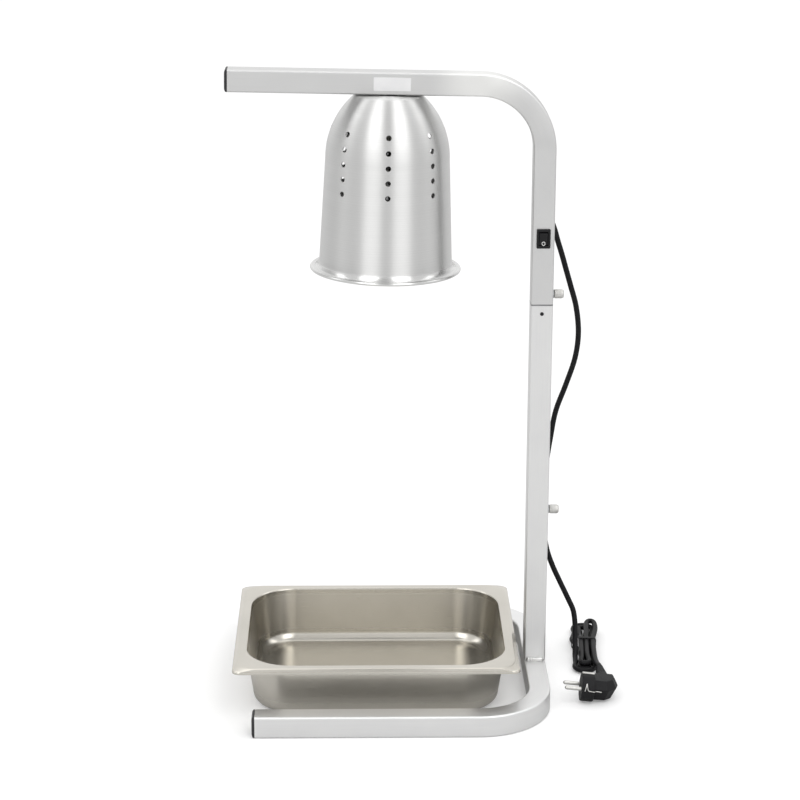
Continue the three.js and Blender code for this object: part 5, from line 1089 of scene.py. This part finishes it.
def turned_normals(mesh, profile):
    """Exact normals of the turned surface on every face that isn't a wall of a hole."""
    line = np.array(profile)
    middle, along = (line + np.roll(line, -1, 0)) / 2, np.roll(line, -1, 0) - line
    length = np.linalg.norm(along, axis=1)
    outward = np.stack([along[:, 1], -along[:, 0]], 1) / length[:, None]
    area = np.sum(line[:, 0] * np.roll(line[:, 1], -1) - np.roll(line[:, 0], -1) * line[:, 1])
    outward *= 1 if area > 0 else -1
    at_point = outward + np.roll(outward, 1, 0)
    at_point /= np.linalg.norm(at_point, axis=1)[:, None]
    mesh.shade_smooth()
    points = np.array([v.co for v in mesh.vertices])
    normals = np.zeros((len(mesh.loops), 3))
    for polygon in mesh.polygons:
        centre = np.array(polygon.center)
        flat_normal = np.array(polygon.normal)
        radius = np.hypot(centre[0], centre[1])
        radial = np.array([centre[0] / radius, centre[1] / radius, 0.0])
        in_section = np.array([flat_normal @ radial, flat_normal[2]])
        # The leg of the profile that this face lies on: of the six nearest, the one that faces the same way
        nearest = np.argsort(np.linalg.norm(middle - np.array([radius, centre[2]]), axis=1))[:6]
        best = nearest[np.argmax(outward[nearest] @ in_section)]
        if outward[best] @ in_section < 0.9:
            for loop in polygon.loop_indices:
                normals[loop] = flat_normal
            continue
        for loop in polygon.loop_indices:
            point = points[mesh.loops[loop].vertex_index]
            size = np.hypot(point[0], point[1])
            share = np.clip((np.array([size, point[2]]) - line[best]) @ along[best] / length[best] ** 2, 0, 1)
            n = at_point[best] * (1 - share) + at_point[(best + 1) % len(line)] * share
            n /= np.linalg.norm(n)
            normals[loop] = (n[0] * point[0] / size, n[0] * point[1] / size, n[1])
    mesh.normals_split_custom_set(normals.tolist())


turned_normals(shade.data, [(r, -SHADE_TOP - d) for r, d in shade_profile])
shade.data.transform(lamp_frame)
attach(shade, "upper")
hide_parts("shade")
dress("shade_spacer", cap_plastic)

# ---------------------------------------------------------------------------------------------------------
# Lamp holder and bulb, inside the shade: glazed porcelain with a brass shell, and an infrared reflector bulb
# with a silvered neck, a frosted face and a nickel plated cap. The clear stem carries the filament.

porcelain = surface("glazed_porcelain", "#e6e2d8", "#efece3", 0.0, 0.12, 0.22, 200.0, 0.02)
dress("holder_body", porcelain)
for node in ("bulb_cap", "bulb_tip"):
    dress(node, nickel_brass)
dress("bulb_insulator", switch_black)

clear = {"IOR": 1.5, "Transmission Weight": 1.0}
clear_glass = surface("clear_stem_glass", "#f2f5f4", "#f7f9f8", 0.0, 0.02, 0.05, 100.0, **clear)
dress("filament_mount", clear_glass)

# Reflector glass: silvered inside above the widest part and frosted below it
reflector, tree = new_material("silvered_and_frosted_glass")
object_place = add(tree, "ShaderNodeTexCoord").outputs["Object"]
height = add(tree, "ShaderNodeSeparateXYZ", {0: object_place}).outputs["Z"]
silvered = {"Value": height, "From Min": 0.542, "From Max": 0.546}
edge = add(tree, "ShaderNodeMapRange", silvered, interpolation_type="SMOOTHSTEP")
etched = add(tree, "ShaderNodeTexNoise", {"Vector": object_place, "Scale": 1500.0, "Detail": 3.0})
rough = add(tree, "ShaderNodeMapRange", {"Value": etched, "To Min": 0.4, "To Max": 0.55})
frost = add(
    tree, "ShaderNodeBsdfPrincipled",
    {"Base Color": linear("#eef0ef"), "Roughness": rough, "Transmission Weight": 0.55, "IOR": 1.5},
)
silver = add(
    tree, "ShaderNodeBsdfPrincipled",
    {
        "Base Color": linear("#d2d3d4"), "Metallic": 1.0, "Roughness": 0.12, "Coat Weight": 0.6,
        "Coat Roughness": 0.03,
    },
)
mixed = add(tree, "ShaderNodeMixShader", {0: edge, 1: frost, 2: silver})
add(tree, "ShaderNodeOutputMaterial", {"Surface": mixed})

# The glass: shares of its greatest radius and of its length below the neck
BULB_OUTLINE = [
    (0.27, 0.05), (0.34, 0.14), (0.47, 0.27), (0.73, 0.46), (0.94, 0.63), (1.0, 0.77), (0.93, 0.89), (0.62, 0.975),
    (0.3, 0.996),
]
BULB_R, BULB_LONG, NECK_R, GLASS, CAP_LONG, NECK_INSERT = 0.0625, 0.16, 0.012, 0.001, 0.022, 0.012
# Depths under the arm: the bulb's tip and the top of its cap, then both ends of the neck and the face
BULB_TOP, CAP_TOP = 0.0275, 0.0322
NECK_TOP, NECK_END, BULB_LOW = CAP_TOP + CAP_LONG - NECK_INSERT, CAP_TOP + CAP_LONG + FIT, BULB_TOP + BULB_LONG
keys = [(a * BULB_R, NECK_END + d * (BULB_LOW - NECK_END)) for a, d in BULB_OUTLINE]
keys = [(NECK_R, NECK_END), *keys, (0.0, BULB_LOW)]
# The spline that the CAD draws the glass with: uniform, through every key
outside = []
for i in range(len(keys) - 1):
    p = [np.array(keys[min(max(j, 0), len(keys) - 1)]) for j in range(i - 1, i + 3)]
    v0, v1 = (p[2] - p[0]) / 2, (p[3] - p[1]) / 2
    cubic, square = 2 * p[1] - 2 * p[2] + v0 + v1, -3 * p[1] + 3 * p[2] - 2 * v0 - v1
    for t in np.linspace(0, 1, 8, endpoint=False):
        outside.append(tuple(cubic * t**3 + square * t**2 + v0 * t + p[1]))
outside.append((0.0, BULB_LOW))
path_2d = np.array([(NECK_R, NECK_TOP), *outside])
heading_2d = np.gradient(path_2d, axis=0)
heading_2d /= np.linalg.norm(heading_2d, axis=1)[:, None]
inside = path_2d + GLASS * np.stack([-heading_2d[:, 1], heading_2d[:, 0]], 1)
path_2d[:, 0], inside[:, 0] = np.maximum(path_2d[:, 0], 0), np.maximum(inside[:, 0], 0)
inside[0] = (NECK_R - GLASS, NECK_TOP)
inside[-1] = (0.0, BULB_LOW - GLASS)
glass_profile = [(r, -d) for r, d in [*reversed(inside.tolist()), *path_2d.tolist()]]
bulb = lathe("bulb_reflector", glass_profile, 96, lamp_frame, reflector)
bulb.data.shade_smooth()
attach(bulb, "bulb")
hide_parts("bulb_glass")

# ---------------------------------------------------------------------------------------------------------
# The pan: half size food pan, deep drawn from 0.9 mm stainless steel, its flat rim sloped and turned down at the
# edge. Inside it is satin polished, smoother at the rim and in the bottom, where the press bore hardest.

PAN_X, PAN_LONG, PAN_WIDE, PAN_HIGH, SHEET = -0.187, 0.325, 0.265, 0.065, 0.0009
RIM, RIM_CORNER, RIM_BAND, RIM_SLOPE, RIM_DROP = 0.0128, 0.009, 0.0044, radians(32), 0.0056
MOUTH_CORNER, MOUTH_EDGE, TAPER, FLOOR_R = 0.0545, 0.0018, 0.0074, 0.0125


def pan_ring(inset, height):
    """The pan's outline so far inside its outer edge: the corners widen over the rim and tighten below it."""
    share = min(inset / RIM, 1.0)
    corner = MOUTH_CORNER + RIM - inset if inset > RIM else RIM_CORNER + (MOUTH_CORNER - RIM_CORNER) * share
    return [(x + PAN_X, y, height) for x, y in rounded_outline(PAN_LONG - 2 * inset, PAN_WIDE - 2 * inset, corner, 24)]


def pan_side(offset):
    """One side of the sheet, (inset, height) from the floor to the turned edge."""
    wall = RIM + MOUTH_EDGE + TAPER
    floor_turn = arc((wall + FLOOR_R, SHEET + FLOOR_R), FLOOR_R + offset, 270, 180, 12)
    mouth = arc((RIM, PAN_HIGH - MOUTH_EDGE), MOUTH_EDGE - offset, 0, 90, 8)
    crease = RIM_BAND + offset * tan(RIM_SLOPE / 2)
    band_foot = PAN_HIGH - offset - (crease - offset) * tan(RIM_SLOPE)
    foot = [(crease, PAN_HIGH - offset), (offset, band_foot), (offset, PAN_HIGH - RIM_DROP)]
    edge = turned_corner([mouth[-1], *foot], 0.0011, 5)
    return [*floor_turn, *mouth, *edge[1:]]


pan_steel, tree = new_material("satin_stainless_steel")
object_place = add(tree, "ShaderNodeTexCoord").outputs["Object"]
drawn = add(tree, "ShaderNodeMapping", {"Vector": object_place, "Scale": (60.0, 2500.0, 2500.0)})
grain = add(tree, "ShaderNodeTexNoise", {"Vector": drawn, "Scale": 1.0, "Detail": 4.0})
cloud = add(tree, "ShaderNodeTexNoise", {"Vector": object_place, "Scale": 14.0, "Detail": 3.0})
tone = add(tree, "ShaderNodeValToRGB", {"Fac": cloud}, ((0.3, "#cfcbc2"), (0.7, "#d7d3ca")))
rough = add(tree, "ShaderNodeMapRange", {"Value": grain, "To Min": 0.265, "To Max": 0.295})
height = add(tree, "ShaderNodeSeparateXYZ", {0: object_place}).outputs["Z"]
at_bottom = {"From Min": 0.012, "From Max": 0.016, "To Min": 0.8, "To Max": 1.0}
at_rim = {"From Min": 0.0585, "From Max": 0.0605, "To Min": 1.0, "To Max": 0.78}
bottom, rim = (add(tree, "ShaderNodeMapRange", {"Value": height, **ends}) for ends in (at_bottom, at_rim))
smoother = add(tree, "ShaderNodeMath", {0: bottom, 1: rim}, operation="MULTIPLY")
polish = add(tree, "ShaderNodeMath", {0: rough, 1: smoother}, operation="MULTIPLY")
relief = add(tree, "ShaderNodeBump", {"Height": grain, "Strength": 0.004, "Distance": 0.0001})
pressed = add(
    tree, "ShaderNodeBsdfPrincipled", {"Base Color": tone, "Metallic": 1.0, "Roughness": polish, "Normal": relief},
)
add(tree, "ShaderNodeOutputMaterial", {"Surface": pressed})

inner = [pan_ring(*point) for point in pan_side(0.0)]
outer = [pan_ring(*point) for point in pan_side(SHEET)]
pan = solid("pan_drawn", *skin([*inner, *reversed(outer)]), pan_steel)
crisp(pan, 50)
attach(pan, "pan")
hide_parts("pan")

# ---------------------------------------------------------------------------------------------------------
# The plug on the cord: a moulded angled plug with two round pins, sprung earth clips on two sides and a
# ribbed strain relief. It lies on the edge of its disc beside the base.

gloss = {"Specular IOR Level": 0.25}
plug_black = surface("plug_moulding", "#0e0e10", "#161618", 0.0, 0.46, 0.58, 900.0, 0.12, **gloss)
disc_corners = [(0.0, 0.0), (PLUG_RADIUS, 0.0), (PLUG_RADIUS, PLUG_DISC), (0.0, PLUG_DISC)]
disc_frame = plug_frame @ Matrix.Rotation(radians(90), 4, "Y")
disc = lathe("plug_disc", turned_corner(disc_corners, 0.0016, 5), 96, disc_frame, plug_black)

# The hood behind the disc: its outline in the plug's frame, X to the back and Y to the neck
HOOD_BEVEL, HOOD_BACK, NECK_ROOT, NECK_FOOT, NECK_TIP = 0.006, 0.0375, 0.017, 0.0275, 0.0043
hood_side = PLUG_RADIUS - 0.003
hood_outline = [
    (PLUG_DISC / 2, -hood_side), (NECK_X, -hood_side), (HOOD_BACK - hood_side / 6, -hood_side / 2),
    (HOOD_BACK, hood_side), (NECK_X + NECK_ROOT / 2, 0.022), (NECK_X - NECK_ROOT / 2, 0.022),
    (PLUG_DISC / 2, hood_side),
]
# Its sides are drafted to a ridge a little above the middle, so the back comes to a blunt point: Z and growth
hood_layers = [
    (-0.012, -0.0008), (-0.0114, 0.0002), (-0.0104, 0.001), (0.0016, 0.0056), (0.0026, 0.006), (0.0036, 0.0056),
    (0.0104, 0.0016), (0.0114, 0.0007), (0.012, -0.0004),
]


def widened(outline, amount):
    """A convex outline moved outwards, its corners turned with an arc of the same radius."""
    points = []
    for before, at, after in zip([outline[-1], *outline], outline, [*outline[1:], outline[0]]):
        before, at, after = Vector(before), Vector(at), Vector(after)
        one, two = (at - before).normalized(), (after - at).normalized()
        one, two = Vector((one.y, -one.x)), Vector((two.y, -two.x))
        for i in range(7):
            mixed = one.lerp(two, i / 6).normalized()
            points.append(tuple(at + mixed * amount))
    return points


drawn_in = [(x, y - (1 if y > 0 else -1) * HOOD_BEVEL) for x, y in hood_outline]
hood_rings = [[(x, y, z) for x, y in widened(drawn_in, growth)] for z, growth in hood_layers]
hood = solid("plug_hood", *skin(hood_rings), plug_black)
hood.data.transform(plug_frame)


def neck_radius(y):
    """The neck's radius over its ribs, which tapers from the hood to the cord."""
    return NECK_ROOT / 2 + (NECK_TIP - NECK_ROOT / 2) * ((y - NECK_FOOT) / (PLUG_END - NECK_FOOT)) ** 0.8


NECK_RIBS = 9
neck_profile = [(0.0, hood_side / 2), (NECK_ROOT / 2, hood_side / 2), (NECK_ROOT / 2, NECK_FOOT)]
for k in range(NECK_RIBS):
    start, stop = (NECK_FOOT + (PLUG_END - NECK_FOOT) * j / NECK_RIBS for j in (k, k + 1))
    top = neck_radius(stop)
    neck_profile.append((neck_radius(start + 0.0003), start + 0.0003))
    neck_profile += [(top, stop - 0.0010), (top - 0.0007, stop - 0.0008), (top - 0.0007, stop)]
neck_profile += [(NECK_TIP, PLUG_END), (0.0, PLUG_END)]
neck_frame = plug_frame @ Matrix.Translation((NECK_X, 0, 0)) @ Matrix.Rotation(radians(-90), 4, "X")
neck = lathe("plug_neck", neck_profile, 64, neck_frame, plug_black)

joined = bmesh.new()
for part in (disc, hood, neck):
    joined.from_mesh(crisp(part, 32).data)
    bpy.data.objects.remove(part)
plug_mesh = bpy.data.meshes.new("plug")
joined.to_mesh(plug_mesh)
joined.free()
plug_mesh.materials.append(plug_black)
plug = place("plug_moulded", plug_mesh)
crisp(plug, 32)
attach(plug, "base")
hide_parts("plug_body")

# Pins and clips: nickel plated brass
PIN_R, PIN_STRAIGHT, PIN_LONG, PIN_HALF_GAP, PIN_TURN = 0.0024, 0.0166, 0.019, 0.0095, radians(6)
pin_tip = [(PIN_R * cos(a), PIN_STRAIGHT + PIN_R * sin(a)) for a in np.linspace(0, pi / 2, 10)]
pin_profile = [(0.0, 0.0), (PIN_R, 0.0), *pin_tip[:-1], (0.0, PIN_LONG)]
for name, node, across in (("pin_front", "plug_pin_front", 1), ("pin_rear", "plug_pin_rear", -1)):
    centre = (0, -across * PIN_HALF_GAP * cos(PIN_TURN), across * PIN_HALF_GAP * sin(PIN_TURN))
    stands = plug_frame @ Matrix.Translation(centre) @ Matrix.Translation((-FIT, 0, 0))
    pin = lathe(name, pin_profile, 40, stands @ Matrix.Rotation(radians(-90), 4, "Y"), nickel_brass)
    crisp(pin, 40)
    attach(pin, "base")
    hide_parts(node)
# The clips along the plug's X: how far they are lifted off the disc, and half their width
CLIP_ROWS = [
    (0.0, 0.0, 0.0017), (0.0006, 0.0, 0.0023), (0.007, 0.0, 0.0023), (0.0133, 0.0, 0.0023), (0.014, -0.0002, 0.0018),
]
for name, node, across in (("clip_lower", "plug_clip_lower", 1), ("clip_upper", "plug_clip_upper", -1)):
    angle = PIN_TURN - pi / 2
    radial = Vector((0, -cos(angle), sin(angle))) * across
    other = radial.cross(Vector((1, 0, 0)))
    low = PLUG_RADIUS - (0.0012 if across > 0 else 0.0003)
    clip_rings = []
    for x, lift, wide in CLIP_ROWS:
        flat = wide - 0.0003
        outline = ((-wide, 0.0), (wide, 0.0), (wide, 0.0007), (flat, 0.001), (-flat, 0.001), (-wide, 0.0007))
        section = [Vector((FIT + x, 0, 0)) + radial * (low + lift + h) + other * w for w, h in outline]
        clip_rings.append([tuple(plug_frame @ point) for point in section])
    clip = solid(name, *skin(clip_rings), nickel_brass)
    crisp(clip, 40)
    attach(clip, "base")
    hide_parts(node)

# The bent spring of the earth contact, a bright wire that lies on the front of the disc and the hood
wire = [
    (0.0034, 0.001), (0.0042, 0.005), (0.0052, 0.0094), (0.006, 0.006), (0.0074, 0.0022), (0.009, 0.0017),
    (0.0146, 0.0014),
]
wire = [(x, -sqrt(PLUG_RADIUS**2 - z * z) - 0.0001, z) for x, z in wire]
wire += [(0.0158, -0.0143, 0.0013), (0.019, -0.0138, 0.001), (0.0232, -0.0136, 0.0006)]
wire_path, _ = smooth_route([plug_frame @ Vector(point) for point in wire], 0.0006)
spring_mesh = mesh_of("contact_spring", *tube_along(wire_path, 0.00055, 10), nickel_brass)
spring_mesh.shade_smooth()
spring = place("contact_spring", spring_mesh)
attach(spring, "base")

# ---------------------------------------------------------------------------------------------------------
# The tie round the waist of the hank: a flat moulded band of black rubber, 5 mm wide, stretched over the three
# loops so that it holds them flat.

TIE_SHARE, TIE_HALF_WIDE = 0.1, 0.0025
half_width = hank_half_width(1, TIE_SHARE) + CORD / 2 + 0.0009
half_height = HANK_PITCH / 2 + CORD / 2 + 0.0003


def tie_ring(grow, side):
    """The band's outline round both layers of cord, so far off them and to this side of its middle."""
    outline = rounded_outline(2 * (half_width + grow), 2 * (half_height + grow), 0.0031 + grow, 8)
    along = TIE_SHARE * HANK_HALF_RUN + side * TIE_HALF_WIDE
    return [tuple(hank_point(x, along, 0.5 + y / HANK_PITCH)) for x, y in outline]


tie_rows = [(0, -1), (0.0006, -1), (0.0009, -0.8), (0.0009, 0.8), (0.0006, 1), (0, 1)]
tie = solid("tie_band", *skin([tie_ring(*row) for row in tie_rows], ends=False), plug_black)
crisp(tie, 50)
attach(tie, "base")
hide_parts("hank_tie")
